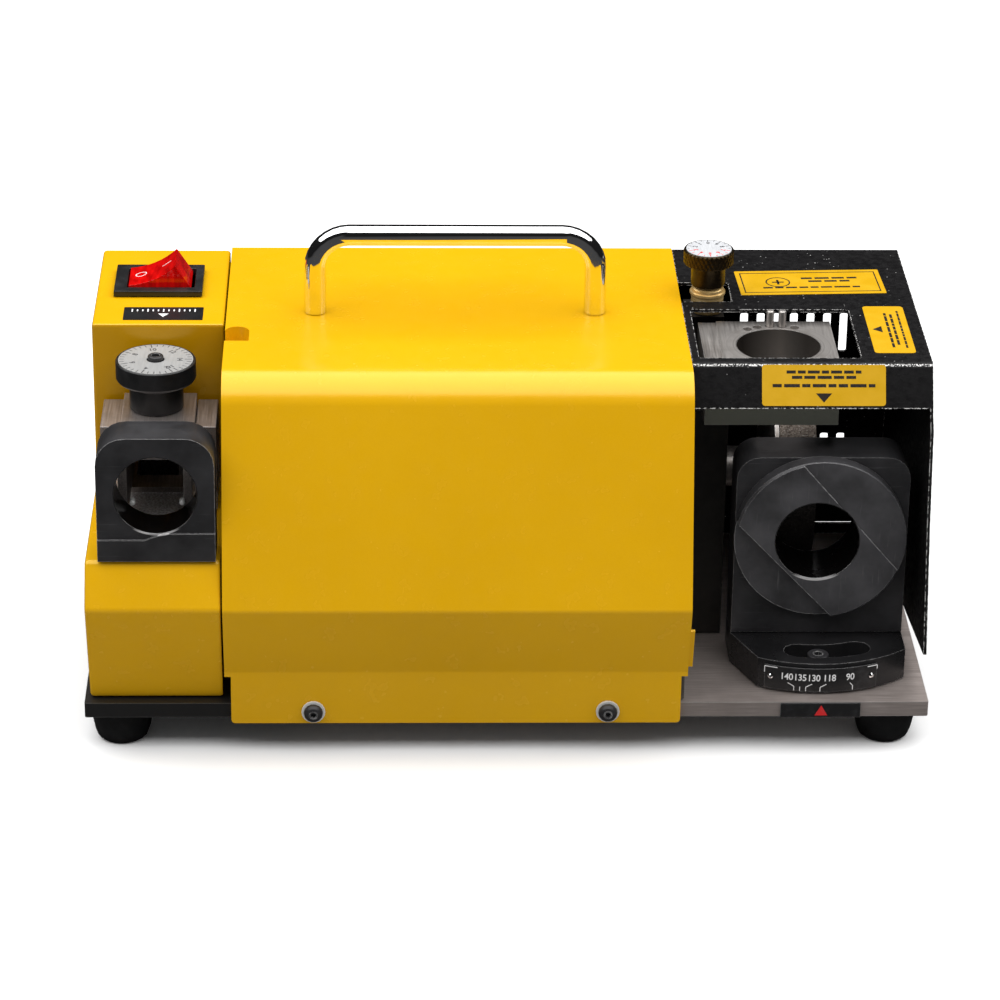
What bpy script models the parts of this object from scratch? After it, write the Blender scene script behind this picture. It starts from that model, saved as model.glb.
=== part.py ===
"""Bench drill-bit grinder with two ports, built as an assembly of separate pieces.

Bench frame: X from the middle of the base plate to the right, Y behind the plate's front edge,
Z above the bench. The empty called machine shifts that frame so that the world origin lies
under the middle of the whole object. Everything is in metres.
"""
import math

import bmesh
import bpy
from mathutils import Vector

MM = 0.001
GAP = 0.3 * MM                      # clearance between pieces that touch on the real machine
SHEET = 1.2 * MM                    # thickness of the bent steel covers

# overall reach, front to back, in the bench frame
FRONT_REACH = -11.0 * MM
REAR_REACH = 150.0 * MM

# base plate and feet
PLATE_WIDTH = 320.0 * MM
PLATE_DEPTH = 148.0 * MM
PLATE_BOTTOM = 15.0 * MM
PLATE_TOP = 21.0 * MM
FOOT_RADIUS = 11.8 * MM
FOOT_X = (-146.8 * MM, 145.2 * MM)
FOOT_Y = (15.0 * MM, 133.0 * MM)

# spindle, motor and grinding wheels
SPINDLE_Y = 95.0 * MM
SPINDLE_Z = 76.0 * MM
SHAFT_RADIUS = 8.0 * MM
SHAFT_END_RADIUS = 5.0 * MM
MOTOR_RADIUS = 48.0 * MM
MOTOR_LEFT = -60.0 * MM
MOTOR_RIGHT = 30.0 * MM
WHEEL_RADIUS = 39.0 * MM
POINT_WHEEL_X = (104.0 * MM, 120.0 * MM)
WEB_WHEEL_X = (-140.0 * MM, -124.0 * MM)
BACKING_WIDTH = 1.6 * MM

# central cover
COVER_X = (-107.0 * MM, 67.8 * MM)
NOTCH_CUP_DEPTH = 8.0 * MM
NOTCH_CUP_RADIUS = 4.6 * MM
COVER_TOP = 148.0 * MM
COVER_BACK = 147.0 * MM
COVER_SCREW_X = (-73.6 * MM, 37.8 * MM)
COVER_SCREW_Z = 18.4 * MM
TAB_REACH = 1.6 * MM                # how far the tab sticks out of the cover's right edge
TAB_LENGTH = 18.5 * MM
TAB_INSET = 0.7 * MM
FLANGE_TRIM = 2.4 * MM
FLANGE_CORNER = 1.5 * MM
VENT_COUNT = 9                      # upright slots in the cover's back wall
VENT_PITCH = 10.0 * MM
VENT_WIDTH = 4.0 * MM
VENT_Z = (60.0 * MM, 105.0 * MM)
FIRST_VENT_X = -60.0 * MM
HANDLE_X = (-73.1 * MM, 33.8 * MM)
HANDLE_Y = 79.5 * MM
HANDLE_TOP = 183.7 * MM
HANDLE_ROD_RADIUS = 4.2 * MM
HANDLE_BEND = 13.0 * MM

# left casing and the web-thinning port in front of it
CASING_X = (-158.0 * MM, -107.5 * MM)
CASING_TOP = 146.7 * MM
CASING_FACE_Y = 70.0 * MM
SHELF_Z = 82.0 * MM
SWITCH_X = -133.15 * MM
SWITCH_Y = 110.5 * MM
ROCKER_PIVOT_Z = 144.0 * MM
INLET_X = -131.0 * MM
INLET_Z = 38.0 * MM
FUSE_Z = 132.0 * MM
WEB_PORT_X = -131.1 * MM
WEB_PORT_Z = 109.1 * MM
WEB_PORT_RADIUS = 15.4 * MM
WEB_KNOB_X = -133.0 * MM
WEB_KNOB_Y = 53.3 * MM

# guard over the grinding bay
GUARD_X = (68.1 * MM, 158.4 * MM)
SEAM_X = (110.0 * MM, 150.0 * MM)      # open seam low in the guard's rear wall
SEAM_Z = (25.9 * MM, 26.6 * MM)
GUARD_TOP = 147.0 * MM
GUARD_BACK = 148.2 * MM
GUARD_FOOT = 21.3 * MM
WINDOW_X = (71.0 * MM, 132.0 * MM)
WINDOW_Y = (37.6 * MM, 84.8 * MM)
NOTCH_RIGHT = 87.6 * MM
NOTCH_Y = (92.6 * MM, 112.0 * MM)
SLOT_COUNT = 7                      # upper row of slots in the guard's back wall
LOWER_SLOT_COUNT = 3
SLOT_PITCH = 6.7 * MM
SLOT_WIDTH = 3.2 * MM
FIRST_SLOT_X = 98.2 * MM
FIRST_LOW_SLOT_X = 126.2 * MM
UPPER_SLOT_Z = (103.0 * MM, 119.5 * MM)
LOWER_SLOT_Z = (50.0 * MM, 66.7 * MM)

# relief-angle port under the guard's window
RELIEF_X = (74.2 * MM, 125.2 * MM)
RELIEF_Y = (42.5 * MM, 86.3 * MM)
RELIEF_Z = (117.2 * MM, 141.5 * MM)
RELIEF_BORE_X = 103.3 * MM
RELIEF_BORE_Y = 62.5 * MM
RELIEF_BORE_RADIUS = 16.0 * MM
RELIEF_PIN_CIRCLE = 19.3 * MM
RELIEF_PIN_RADIUS = 1.5 * MM
RELIEF_HOLE_ANGLES = (123.0, 110.0, 95.0, 81.0, 66.0)
RELIEF_PIN_ANGLES = (95.0, 81.0)
RELIEF_KNOB_X = 78.6 * MM
RELIEF_KNOB_Y = 98.6 * MM
BRACKET_X = (70.0 * MM, 84.9 * MM)
BRACKET_TOP = 141.0 * MM

# swivelling point-angle head
PIVOT_X = 119.0 * MM
PIVOT_Y = 58.0 * MM
HEAD_BASE_TOP = 33.7 * MM
HEAD_ARC_RADIUS = 51.2 * MM
HEAD_BLOCK_X = (86.6 * MM, 152.7 * MM)
HEAD_BLOCK_Y = (33.0 * MM, 52.0 * MM)
HEAD_BLOCK_TOP = 108.0 * MM
DISH_RADIUS = 32.8 * MM
DISH_EASE = 0.8 * MM                 # chamfer round the dish, clear of the guard when the head swings
HEAD_BORE_RADIUS = 16.0 * MM
HEAD_BORE_X = 117.6 * MM             # the bore sits a little left of the dish that carries it
LOCK_RADIUS = 40.5 * MM             # distance of the lock screw from the pivot
LOCK_SLOT_DEGREES = (-101.2, -68.3)

ROUND = 40                          # facets round a large piece
SMALL = 18                          # facets round a small piece
HIDDEN = 28                         # facets round a large piece inside the covers

COLOURS = {                         # colour, roughness, metallic
    "yellow_paint": ((0.93, 0.62, 0.02), 0.45, 0.0),
    "black_paint": ((0.02, 0.02, 0.02), 0.55, 0.0),
    "ground_steel": ((0.42, 0.40, 0.38), 0.38, 1.0),
    "black_oxide": ((0.05, 0.05, 0.055), 0.42, 0.8),
    "chrome": ((0.85, 0.85, 0.85), 0.08, 1.0),
    "rubber": ((0.02, 0.02, 0.02), 0.85, 0.0),
    "black_plastic": ((0.015, 0.015, 0.015), 0.4, 0.0),
    "red_plastic": ((0.75, 0.01, 0.01), 0.2, 0.0),
    "brass": ((0.72, 0.50, 0.22), 0.3, 1.0),
    "bronze": ((0.16, 0.10, 0.05), 0.4, 0.9),
    "dial_plate": ((0.80, 0.80, 0.80), 0.35, 0.2),
    "abrasive": ((0.45, 0.38, 0.30), 0.9, 0.0),
    "motor_grey": ((0.28, 0.29, 0.30), 0.5, 0.6),
    "cast_iron": ((0.06, 0.05, 0.045), 0.6, 0.5),
    "white_plastic": ((0.75, 0.75, 0.72), 0.4, 0.0),
}
ALONG = {"X": (0.0, math.pi / 2, 0.0), "Y": (-math.pi / 2, 0.0, 0.0), "Z": (0.0, 0.0, 0.0)}
PLANE = {"XY": (0.0, 0.0, 0.0), "XZ": (math.pi / 2, 0.0, 0.0), "YZ": (math.pi / 2, 0.0, math.pi / 2)}


# ---------------------------------------------------------------- scene, collections, materials

def clear_scene():
    for old in list(bpy.data.objects):
        bpy.data.objects.remove(old, do_unlink=True)


def new_collection(name):
    collection = bpy.data.collections.new(name)
    bpy.context.scene.collection.children.link(collection)
    return collection


def make_material(name):
    colour, roughness, metallic = COLOURS[name]
    material = bpy.data.materials.new(name)
    material.use_nodes = True
    shader = material.node_tree.nodes["Principled BSDF"]
    shader.inputs["Base Color"].default_value = (*colour, 1.0)
    shader.inputs["Roughness"].default_value = roughness
    shader.inputs["Metallic"].default_value = metallic
    return material


clear_scene()
PARTS = new_collection("drill_bit_sharpener")
TOOLS = new_collection("cutters")
MATERIALS = {name: make_material(name) for name in COLOURS}


def add_object(name, data, location, rotation, finish):
    """Link a piece to the parts, or a cutter (no finish) to the hidden tools."""
    obj = bpy.data.objects.new(name, data)
    obj.location = location
    obj.rotation_euler = rotation
    if finish is None:
        TOOLS.objects.link(obj)
        obj.hide_render = True
        obj.display_type = "WIRE"
    else:
        PARTS.objects.link(obj)
        data.materials.append(MATERIALS[finish])
    return obj


# ---------------------------------------------------------------- shapes

def box(name, low, high, finish=None):
    low, high = Vector(low), Vector(high)
    mesh = bpy.data.meshes.new(name)
    shape = bmesh.new()
    bmesh.ops.create_cube(shape, size=1.0)
    bmesh.ops.scale(shape, vec=high - low, verts=shape.verts)
    shape.to_mesh(mesh)
    shape.free()
    return add_object(name, mesh, (low + high) / 2, (0, 0, 0), finish)


def cylinder(name, radius, start, length, axis="Z", finish=None, facets=SMALL):
    """A round bar that begins at start and runs for length along a positive axis."""
    mesh = bpy.data.meshes.new(name)
    shape = bmesh.new()
    bmesh.ops.create_cone(shape, cap_ends=True, segments=facets, radius1=radius, radius2=radius, depth=length)
    shape.to_mesh(mesh)
    shape.free()
    mesh.shade_smooth()
    mesh.set_sharp_from_angle(angle=math.radians(40))
    centre = Vector(start)
    centre["XYZ".index(axis)] += length / 2
    return add_object(name, mesh, centre, ALONG[axis], finish)


def turned(name, profile, location, axis="Z", finish=None, facets=ROUND, ring=False):
    """Spin (radius, height) points about an axis; a ring's profile closes on itself."""
    points = [(radius, 0.0, height) for radius, height in profile]
    edges = [(i, i + 1) for i in range(len(points) - 1)]
    if ring:
        edges.append((len(points) - 1, 0))
    mesh = bpy.data.meshes.new(name)
    mesh.from_pydata(points, edges, [])
    obj = add_object(name, mesh, location, ALONG[axis], finish)
    screw = obj.modifiers.new("spin", "SCREW")
    screw.axis = "Z"
    screw.steps = facets
    screw.render_steps = facets
    screw.use_merge_vertices = True
    screw.merge_threshold = 0.00001
    return obj


def welded_mesh(curve_object):
    """The closed mesh of a curve object, its loose caps welded on."""
    bpy.context.view_layer.update()
    evaluated = curve_object.evaluated_get(bpy.context.evaluated_depsgraph_get())
    mesh = bpy.data.meshes.new_from_object(evaluated)
    shape = bmesh.new()
    shape.from_mesh(mesh)
    bmesh.ops.remove_doubles(shape, verts=shape.verts, dist=0.000002)
    bmesh.ops.recalc_face_normals(shape, faces=shape.faces)
    shape.to_mesh(mesh)
    shape.free()
    mesh.materials.clear()
    return mesh


def extruded(name, outlines, plane, start, depth, finish=None):
    """A flat outline with holes, in a plane, given thickness from start along the third axis."""
    curve = bpy.data.curves.new(name, "CURVE")
    curve.dimensions = "2D"
    curve.fill_mode = "BOTH"
    curve.extrude = depth / 2
    for outline in outlines:
        spline = curve.splines.new("POLY")
        spline.points.add(len(outline) - 1)
        spline.use_cyclic_u = True
        for point, (across, up) in zip(spline.points, outline):
            point.co = (across, up, 0.0, 1.0)
    flat = bpy.data.objects.new(name, curve)
    TOOLS.objects.link(flat)
    mesh = welded_mesh(flat)
    bpy.data.objects.remove(flat, do_unlink=True)
    middle = start + depth / 2
    location = {"XY": (0, 0, middle), "XZ": (0, middle, 0), "YZ": (middle, 0, 0)}[plane]
    mesh.name = name
    return add_object(name, mesh, location, PLANE[plane], finish)


def rounded(corners, steps=6):
    """An outline from (across, up, radius) corners, each sharp or rounded by an arc."""
    points = []
    count = len(corners)
    for index, (across, up, radius) in enumerate(corners):
        here = Vector((across, up))
        if radius == 0:
            points.append(tuple(here))
            continue
        back = (Vector(corners[index - 1][:2]) - here).normalized()
        ahead = (Vector(corners[(index + 1) % count][:2]) - here).normalized()
        half = back.angle(ahead) / 2
        centre = here + (back + ahead).normalized() * radius / math.sin(half)
        first = here + back * radius / math.tan(half) - centre
        last = here + ahead * radius / math.tan(half) - centre
        sweep = first.angle_signed(last)
        for step in range(steps + 1):
            turn = -sweep * step / steps
            points.append((centre.x + first.x * math.cos(turn) - first.y * math.sin(turn),
                           centre.y + first.x * math.sin(turn) + first.y * math.cos(turn)))
    return points


def arc(centre, radius, start, end, steps):
    """Points along an arc, angles in degrees, both ends included."""
    points = []
    for step in range(steps + 1):
        angle = math.radians(start + (end - start) * step / steps)
        points.append((centre[0] + radius * math.cos(angle), centre[1] + radius * math.sin(angle)))
    return points


def circle(centre, radius, facets=SMALL):
    return arc(centre, radius, 0.0, 360.0 * (facets - 1) / facets, facets - 1)


def rectangle(left, right, bottom, top, radius=0.0):
    return rounded([(left, bottom, radius), (right, bottom, radius), (right, top, radius),
                    (left, top, radius)])


def upright_slot(middle, half_width, bottom, top, steps=6):
    """A vertical slot with round ends."""
    return (arc((middle, bottom + half_width), half_width, 180, 360, steps)
            + arc((middle, top - half_width), half_width, 0, 180, steps))


def arc_slot(centre, radius, half_width, start, end, steps=10):
    """A slot curved about a centre, with round ends."""
    ends = [(centre[0] + radius * math.cos(math.radians(a)), centre[1] + radius * math.sin(math.radians(a)))
            for a in (start, end)]
    outer = arc(centre, radius + half_width, start, end, steps)
    inner = arc(centre, radius - half_width, end, start, steps)
    tip = arc(ends[1], half_width, end, end + 180, 6)[1:-1]
    tail = arc(ends[0], half_width, start + 180, start + 360, 6)[1:-1]
    return outer + tip + inner + tail


def boolean(obj, operation, tools):
    for tool in tools:
        change = obj.modifiers.new(tool.name, "BOOLEAN")
        change.operation = operation
        change.solver = "EXACT"
        change.object = tool
    return obj


def cut(obj, *tools):
    return boolean(obj, "DIFFERENCE", tools)


def join(obj, *tools):
    return boolean(obj, "UNION", tools)


def round_edges(obj, width, segments=2):
    bevel = obj.modifiers.new("round_edges", "BEVEL")
    bevel.width = width
    bevel.segments = segments
    bevel.limit_method = "ANGLE"
    bevel.angle_limit = math.radians(40)
    return obj


# ---------------------------------------------------------------- base plate and feet

def build_base():
    lock_y = PIVOT_Y - LOCK_RADIUS
    holes = [circle((PIVOT_X, PIVOT_Y), 4.0 * MM + GAP), circle((PIVOT_X, lock_y), 2.4 * MM + GAP)]
    outline = rectangle(-PLATE_WIDTH / 2, PLATE_WIDTH / 2, 0.0, PLATE_DEPTH, 1.0 * MM)
    plate = extruded("base_plate", [outline] + holes, "XY", PLATE_BOTTOM, PLATE_TOP - PLATE_BOTTOM,
                     "ground_steel")
    for side, x in zip(("left", "right"), COVER_SCREW_X):
        tapped = cylinder("tapped_hole_" + side, 2.2 * MM, (x, -1.0 * MM, COVER_SCREW_Z), 12.0 * MM, "Y")
        cut(plate, tapped)
    box("index_plate", (103.5 * MM, -0.9 * MM, PLATE_BOTTOM), (134.0 * MM, -GAP, PLATE_TOP), "black_paint")
    build_feet()


def build_feet():
    top = PLATE_BOTTOM - GAP
    profile = [(0.0, top), (FOOT_RADIUS, top), (FOOT_RADIUS, top - 4.5 * MM),
               (FOOT_RADIUS - 1.2 * MM, 4.0 * MM), (FOOT_RADIUS - 2.2 * MM, 1.2 * MM),
               (FOOT_RADIUS - 3.6 * MM, 0.0), (0.0, 0.0)]
    for side, x in zip(("left", "right"), FOOT_X):
        for end, y in zip(("front", "rear"), FOOT_Y):
            turned(f"foot_{end}_{side}", profile, (x, y, 0.0), "Z", "rubber", 20)


# ---------------------------------------------------------------- motor, shaft and wheels

def build_motor():
    axis = (SPINDLE_Y, SPINDLE_Z)
    length = MOTOR_RIGHT - MOTOR_LEFT
    tube = [circle(axis, MOTOR_RADIUS, HIDDEN), circle(axis, MOTOR_RADIUS - 2.5 * MM, HIDDEN)]
    extruded("motor_housing", tube, "YZ", MOTOR_LEFT, length, "motor_grey")
    extruded("stator_core", [circle(axis, MOTOR_RADIUS - 2.9 * MM, HIDDEN), circle(axis, 26.2 * MM, HIDDEN)],
             "YZ", MOTOR_LEFT + 16 * MM, length - 32 * MM, "cast_iron")
    bell = [(15.3 * MM, 8.0 * MM), (22.0 * MM, 8.0 * MM), (26.0 * MM, 4.0 * MM), (MOTOR_RADIUS, 4.0 * MM),
            (MOTOR_RADIUS, 0.0), (20.0 * MM, 0.0), (18.0 * MM, -4.0 * MM), (15.3 * MM, -4.0 * MM)]
    turned("end_bell_right", bell, (MOTOR_RIGHT + GAP, *axis), "X", "motor_grey", HIDDEN, ring=True)
    mirrored = [(radius, -height) for radius, height in reversed(bell)]
    turned("end_bell_left", mirrored, (MOTOR_LEFT - GAP, *axis), "X", "motor_grey", HIDDEN, ring=True)
    race = [(SHAFT_RADIUS + GAP, 5.0 * MM), (15.0 * MM, 5.0 * MM), (15.0 * MM, -5.0 * MM),
            (SHAFT_RADIUS + GAP, -5.0 * MM)]
    turned("bearing_right", race, (MOTOR_RIGHT + 2.3 * MM, *axis), "X", "chrome", 24, ring=True)
    turned("bearing_left", race, (MOTOR_LEFT - 2.3 * MM, *axis), "X", "chrome", 24, ring=True)
    saddle = arc(axis, MOTOR_RADIUS + GAP, -35, -145, 12)
    feet = [(50.0 * MM, saddle[-1][1]), (50.0 * MM, PLATE_TOP + GAP), (140.0 * MM, PLATE_TOP + GAP),
            (140.0 * MM, saddle[0][1])]
    extruded("motor_cradle", [saddle + feet], "YZ", -45.0 * MM, 60.0 * MM, "cast_iron")
    cylinder("capacitor", 15.0 * MM, (-55.0 * MM, 25.0 * MM, 38.0 * MM), 62.0 * MM, "X", "white_plastic", 28)


def build_spindle():
    axis = (SPINDLE_Y, SPINDLE_Z)
    left, right = WEB_WHEEL_X[0] - 9 * MM, POINT_WHEEL_X[1] + 9 * MM
    shoulder_left, shoulder_right = WEB_WHEEL_X[1] + 4 * MM, POINT_WHEEL_X[0] - 4 * MM
    profile = [(0.0, right), (SHAFT_END_RADIUS, right), (SHAFT_END_RADIUS, shoulder_right),
               (SHAFT_RADIUS, shoulder_right), (SHAFT_RADIUS, shoulder_left),
               (SHAFT_END_RADIUS, shoulder_left), (SHAFT_END_RADIUS, left), (0.0, left)]
    turned("spindle_shaft", profile, (0.0, *axis), "X", "ground_steel", 24)
    bore = SHAFT_RADIUS + GAP
    extruded("rotor_core", [circle(axis, 25.4 * MM, HIDDEN), circle(axis, bore, SMALL)], "YZ",
             MOTOR_LEFT + 16 * MM, MOTOR_RIGHT - MOTOR_LEFT - 32 * MM, "cast_iron")
    build_fan(axis, bore)
    build_wheels(axis)


def build_fan(axis, bore):
    blades = 9
    outline = []
    for blade in range(blades):
        middle = 360.0 * blade / blades
        outline += arc(axis, 38.0 * MM, middle - 4, middle + 4, 2)
        outline += arc(axis, 14.0 * MM, middle + 12, middle + 28, 2)
    extruded("cooling_fan", [outline, circle(axis, bore, SMALL)], "YZ", MOTOR_LEFT - 26 * MM, 14.0 * MM,
             "black_plastic")


def build_wheels(axis):
    bore = SHAFT_END_RADIUS + GAP
    inner, outer = POINT_WHEEL_X
    grit = [circle(axis, WHEEL_RADIUS, ROUND), circle(axis, bore, SMALL)]
    face = inner + BACKING_WIDTH
    extruded("point_wheel_backing", grit, "YZ", inner, BACKING_WIDTH, "ground_steel")
    extruded("point_wheel", grit, "YZ", face + GAP, outer - face - GAP, "abrasive")
    outer, inner = WEB_WHEEL_X
    face = inner - BACKING_WIDTH
    extruded("web_wheel_backing", grit, "YZ", face, BACKING_WIDTH, "ground_steel")
    extruded("web_wheel", grit, "YZ", outer, face - outer - GAP, "abrasive")
    nut = arc(axis, 8.5 * MM, 0, 300, 5)
    thread = circle(axis, bore, SMALL)
    extruded("point_wheel_nut", [nut, thread], "YZ", POINT_WHEEL_X[1] + GAP, 6.0 * MM, "chrome")
    extruded("web_wheel_nut", [nut, thread], "YZ", WEB_WHEEL_X[0] - 6.3 * MM, 6.0 * MM, "chrome")


# ---------------------------------------------------------------- central cover and handle

def cover_profile(inset):
    """The cover's cross-section in the YZ plane, its open run only, moved inwards by an inset."""
    run = [(-1.5 * MM, 13.2 * MM, 0.0), (-1.5 * MM, 34.9 * MM, 3 * MM), (FRONT_REACH, 65.0 * MM, 3 * MM),
           (15.4 * MM, COVER_TOP, 14 * MM), (COVER_BACK, COVER_TOP, 1.5 * MM),
           (COVER_BACK, PLATE_TOP + GAP, 0.0)]
    points = rounded(run)
    moved = []
    for index, point in enumerate(points):
        before = Vector(points[max(index - 1, 0)])
        after = Vector(points[min(index + 1, len(points) - 1)])
        along = (after - before).normalized()
        moved.append((point[0] + along.y * inset, point[1] - along.x * inset))
    return moved


def flange_trim(edge, outward):
    """What is cut off one end of the screw flange: a strip with a rounded lower corner."""
    beyond = edge + outward * 3 * MM
    inner = edge - outward * FLANGE_TRIM
    corner = (inner - outward * FLANGE_CORNER, 13.2 * MM + FLANGE_CORNER)
    rounding = arc(corner, FLANGE_CORNER, -90, -90 + 90 * outward, 4)
    return [(beyond, 10 * MM), (corner[0], 10 * MM)] + rounding + [(inner, 33 * MM), (beyond, 33 * MM)]


def cover_tab():
    """Section of the short tab that follows the lower slope, set back inside the cover's right edge."""
    slope = Vector((-1.5 * MM - FRONT_REACH, 34.9 * MM - 65.0 * MM)).normalized()
    inwards = Vector((-slope.y, slope.x))
    top = Vector((FRONT_REACH, 65.0 * MM)) + slope * 11 * MM + inwards * TAB_INSET
    bottom = top + slope * TAB_LENGTH
    return [tuple(point) for point in (top, bottom, bottom + inwards * SHEET, top + inwards * SHEET)]


def build_cover():
    outline = cover_profile(0.0) + cover_profile(SHEET)[::-1]
    cover = extruded("main_cover", [outline], "YZ", COVER_X[0], COVER_X[1] - COVER_X[0], "yellow_paint")
    left, right = COVER_X
    notch_cup(cover, left)
    join(cover, extruded("cover_tab", [cover_tab()], "YZ", right - 1 * MM, 1 * MM + TAB_REACH))
    for side, edge, outward in (("left", left, -1), ("right", right, 1)):
        cut(cover, extruded("flange_trim_" + side, [flange_trim(edge, outward)], "XZ", -6 * MM, 6 * MM))
    for number in range(VENT_COUNT):
        x = FIRST_VENT_X + number * VENT_PITCH
        slot = upright_slot(x, VENT_WIDTH / 2, *VENT_Z)
        cut(cover, extruded(f"rear_vent_{number}", [slot], "XZ", COVER_BACK - 7 * MM, 10 * MM))
    for side, x in zip(("left", "right"), COVER_SCREW_X):
        cut(cover, cylinder("flange_hole_" + side, 2.2 * MM, (x, -4.0 * MM, COVER_SCREW_Z), 3.9 * MM, "Y"))
        build_cover_screw(side, x)
    for side, x in zip(("left", "right"), HANDLE_X):
        cut(cover, cylinder("handle_hole_" + side, 2.6 * MM, (x, HANDLE_Y, 140.0 * MM), 12.0 * MM))
        screw = [(0.0, COVER_TOP), (2.2 * MM, COVER_TOP), (2.2 * MM, 146.5 * MM), (5.0 * MM, 146.5 * MM),
                 (5.0 * MM, 142.5 * MM), (0.0, 142.5 * MM)]
        turned("handle_screw_" + side, screw, (x, HANDLE_Y, 0.0), "Z", "chrome", SMALL)
    build_handle()
    inside = [(2.0 * MM, 21.5 * MM), (2.0 * MM, 36.0 * MM), (-7.0 * MM, 65.5 * MM), (15.0 * MM, 136.5 * MM),
              (21.5 * MM, 143.0 * MM), (143.0 * MM, 143.0 * MM), (143.0 * MM, 21.5 * MM)]
    extruded("partition_plate", [inside, circle((SPINDLE_Y, SPINDLE_Z), 12.0 * MM)], "YZ", 65.5 * MM,
             1.5 * MM, "black_paint")


def notch_outline(edge, spread, reach):
    """Round-ended notch at the cover's left edge, grown by a spread and reaching past that edge."""
    radius = NOTCH_CUP_RADIUS + spread
    bend = (edge + NOTCH_CUP_RADIUS, 60.3 * MM)
    front = 51.2 * MM - spread
    curve = [(max(across, edge), up) for across, up in arc(bend, radius, 0, 170, 12)]
    return [(edge - reach, front), (bend[0] + radius, front)] + curve + [(edge - reach, bend[1])]


def notch_cup(cover, edge):
    """Deep finger notch open to the cover's left edge; its walls hang under the cover's top."""
    floor = COVER_TOP - NOTCH_CUP_DEPTH
    walls = notch_outline(edge, SHEET, 0.0)
    join(cover, extruded("notch_walls", [walls], "XY", floor - SHEET, NOTCH_CUP_DEPTH + SHEET / 2))
    hollow = notch_outline(edge, 0.0, 3 * MM)
    cut(cover, extruded("notch_hollow", [hollow], "XY", floor, NOTCH_CUP_DEPTH + 5 * MM))


def build_cover_screw(side, x):
    """Button-head socket screw with a flat washer, through the flange into the plate's edge."""
    flange = -1.5 * MM
    washer = [(2.3 * MM, -GAP), (4.5 * MM, -GAP), (4.5 * MM, -1.1 * MM), (2.3 * MM, -1.1 * MM)]
    turned("cover_washer_" + side, washer, (x, flange, COVER_SCREW_Z), "Y", "chrome", SMALL, ring=True)
    screw = [(0.0, 9.0 * MM), (1.9 * MM, 9.0 * MM), (1.9 * MM, -1.4 * MM), (3.7 * MM, -1.4 * MM),
             (3.5 * MM, -2.6 * MM), (2.6 * MM, -3.5 * MM), (1.6 * MM, -3.7 * MM), (1.5 * MM, -2.0 * MM),
             (0.0, -2.0 * MM)]
    turned("cover_screw_" + side, screw, (x, flange, COVER_SCREW_Z), "Y", "black_oxide", 14)


def build_handle():
    left, right = HANDLE_X
    rod_z = HANDLE_TOP - HANDLE_ROD_RADIUS
    corner_z = rod_z - HANDLE_BEND
    foot = COVER_TOP + GAP
    route = [(left, foot), (left, (foot + corner_z) / 2)]
    route += arc((left + HANDLE_BEND, corner_z), HANDLE_BEND, 180, 90, 8)
    route += arc((right - HANDLE_BEND, corner_z), HANDLE_BEND, 90, 0, 8)
    route += [(right, (foot + corner_z) / 2), (right, foot)]
    curve = bpy.data.curves.new("handle", "CURVE")
    curve.dimensions = "3D"
    curve.bevel_depth = HANDLE_ROD_RADIUS
    curve.bevel_resolution = 3
    curve.use_fill_caps = True
    spline = curve.splines.new("POLY")
    spline.points.add(len(route) - 1)
    for point, (x, z) in zip(spline.points, route):
        point.co = (x, HANDLE_Y, z, 1.0)
    add_object("handle", curve, (0, 0, 0), (0, 0, 0), "chrome")


# ---------------------------------------------------------------- left casing, switch and inlet

def build_casing():
    back = COVER_BACK
    foot = PLATE_TOP + GAP
    outside = [(4.5 * MM, foot), (FRONT_REACH, 65.5 * MM), (-2.3 * MM, SHELF_Z), (CASING_FACE_Y, SHELF_Z),
               (CASING_FACE_Y, CASING_TOP), (back, CASING_TOP), (back, foot)]
    skin = SHEET
    inside = [(4.5 * MM + 1.3 * MM, foot - 2 * MM), (FRONT_REACH + 1.3 * MM, 65.3 * MM),
              (-2.3 * MM + 0.8 * MM, SHELF_Z - skin), (CASING_FACE_Y + skin, SHELF_Z - skin),
              (CASING_FACE_Y + skin, CASING_TOP - skin), (back - skin, CASING_TOP - skin),
              (back - skin, foot - 2 * MM)]
    left, right = CASING_X
    casing = extruded("left_casing", [outside], "YZ", left, right - left, "yellow_paint")
    round_edges(casing, 1.4 * MM)
    cut(casing, extruded("casing_hollow", [inside], "YZ", left + skin, right - left + 4 * MM))
    cut(casing, box("casing_foot_trim", (left - 5 * MM, -20 * MM, foot - 5 * MM),
                    (right + 5 * MM, back + 5 * MM, foot + 0.01 * MM)))
    cut(casing, box("web_window", (WEB_PORT_X - 11 * MM, 52 * MM, SHELF_Z - 6 * MM),
                    (WEB_PORT_X + 11 * MM, CASING_FACE_Y + 5 * MM, 116 * MM)))
    cut(casing, box("switch_cutout", (SWITCH_X - 14.4 * MM, SWITCH_Y - 12.3 * MM, 140 * MM),
                    (SWITCH_X + 14.4 * MM, SWITCH_Y + 12.3 * MM, 152 * MM)))
    cut(casing, box("inlet_cutout", (INLET_X - 13.9 * MM, back - 6 * MM, INLET_Z - 10.0 * MM),
                    (INLET_X + 13.9 * MM, back + 6 * MM, INLET_Z + 10.0 * MM)))
    cut(casing, cylinder("fuse_cutout", 6.8 * MM, (INLET_X, back - 6 * MM, FUSE_Z), 12 * MM, "Y"))
    build_switch()
    build_inlet()


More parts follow.
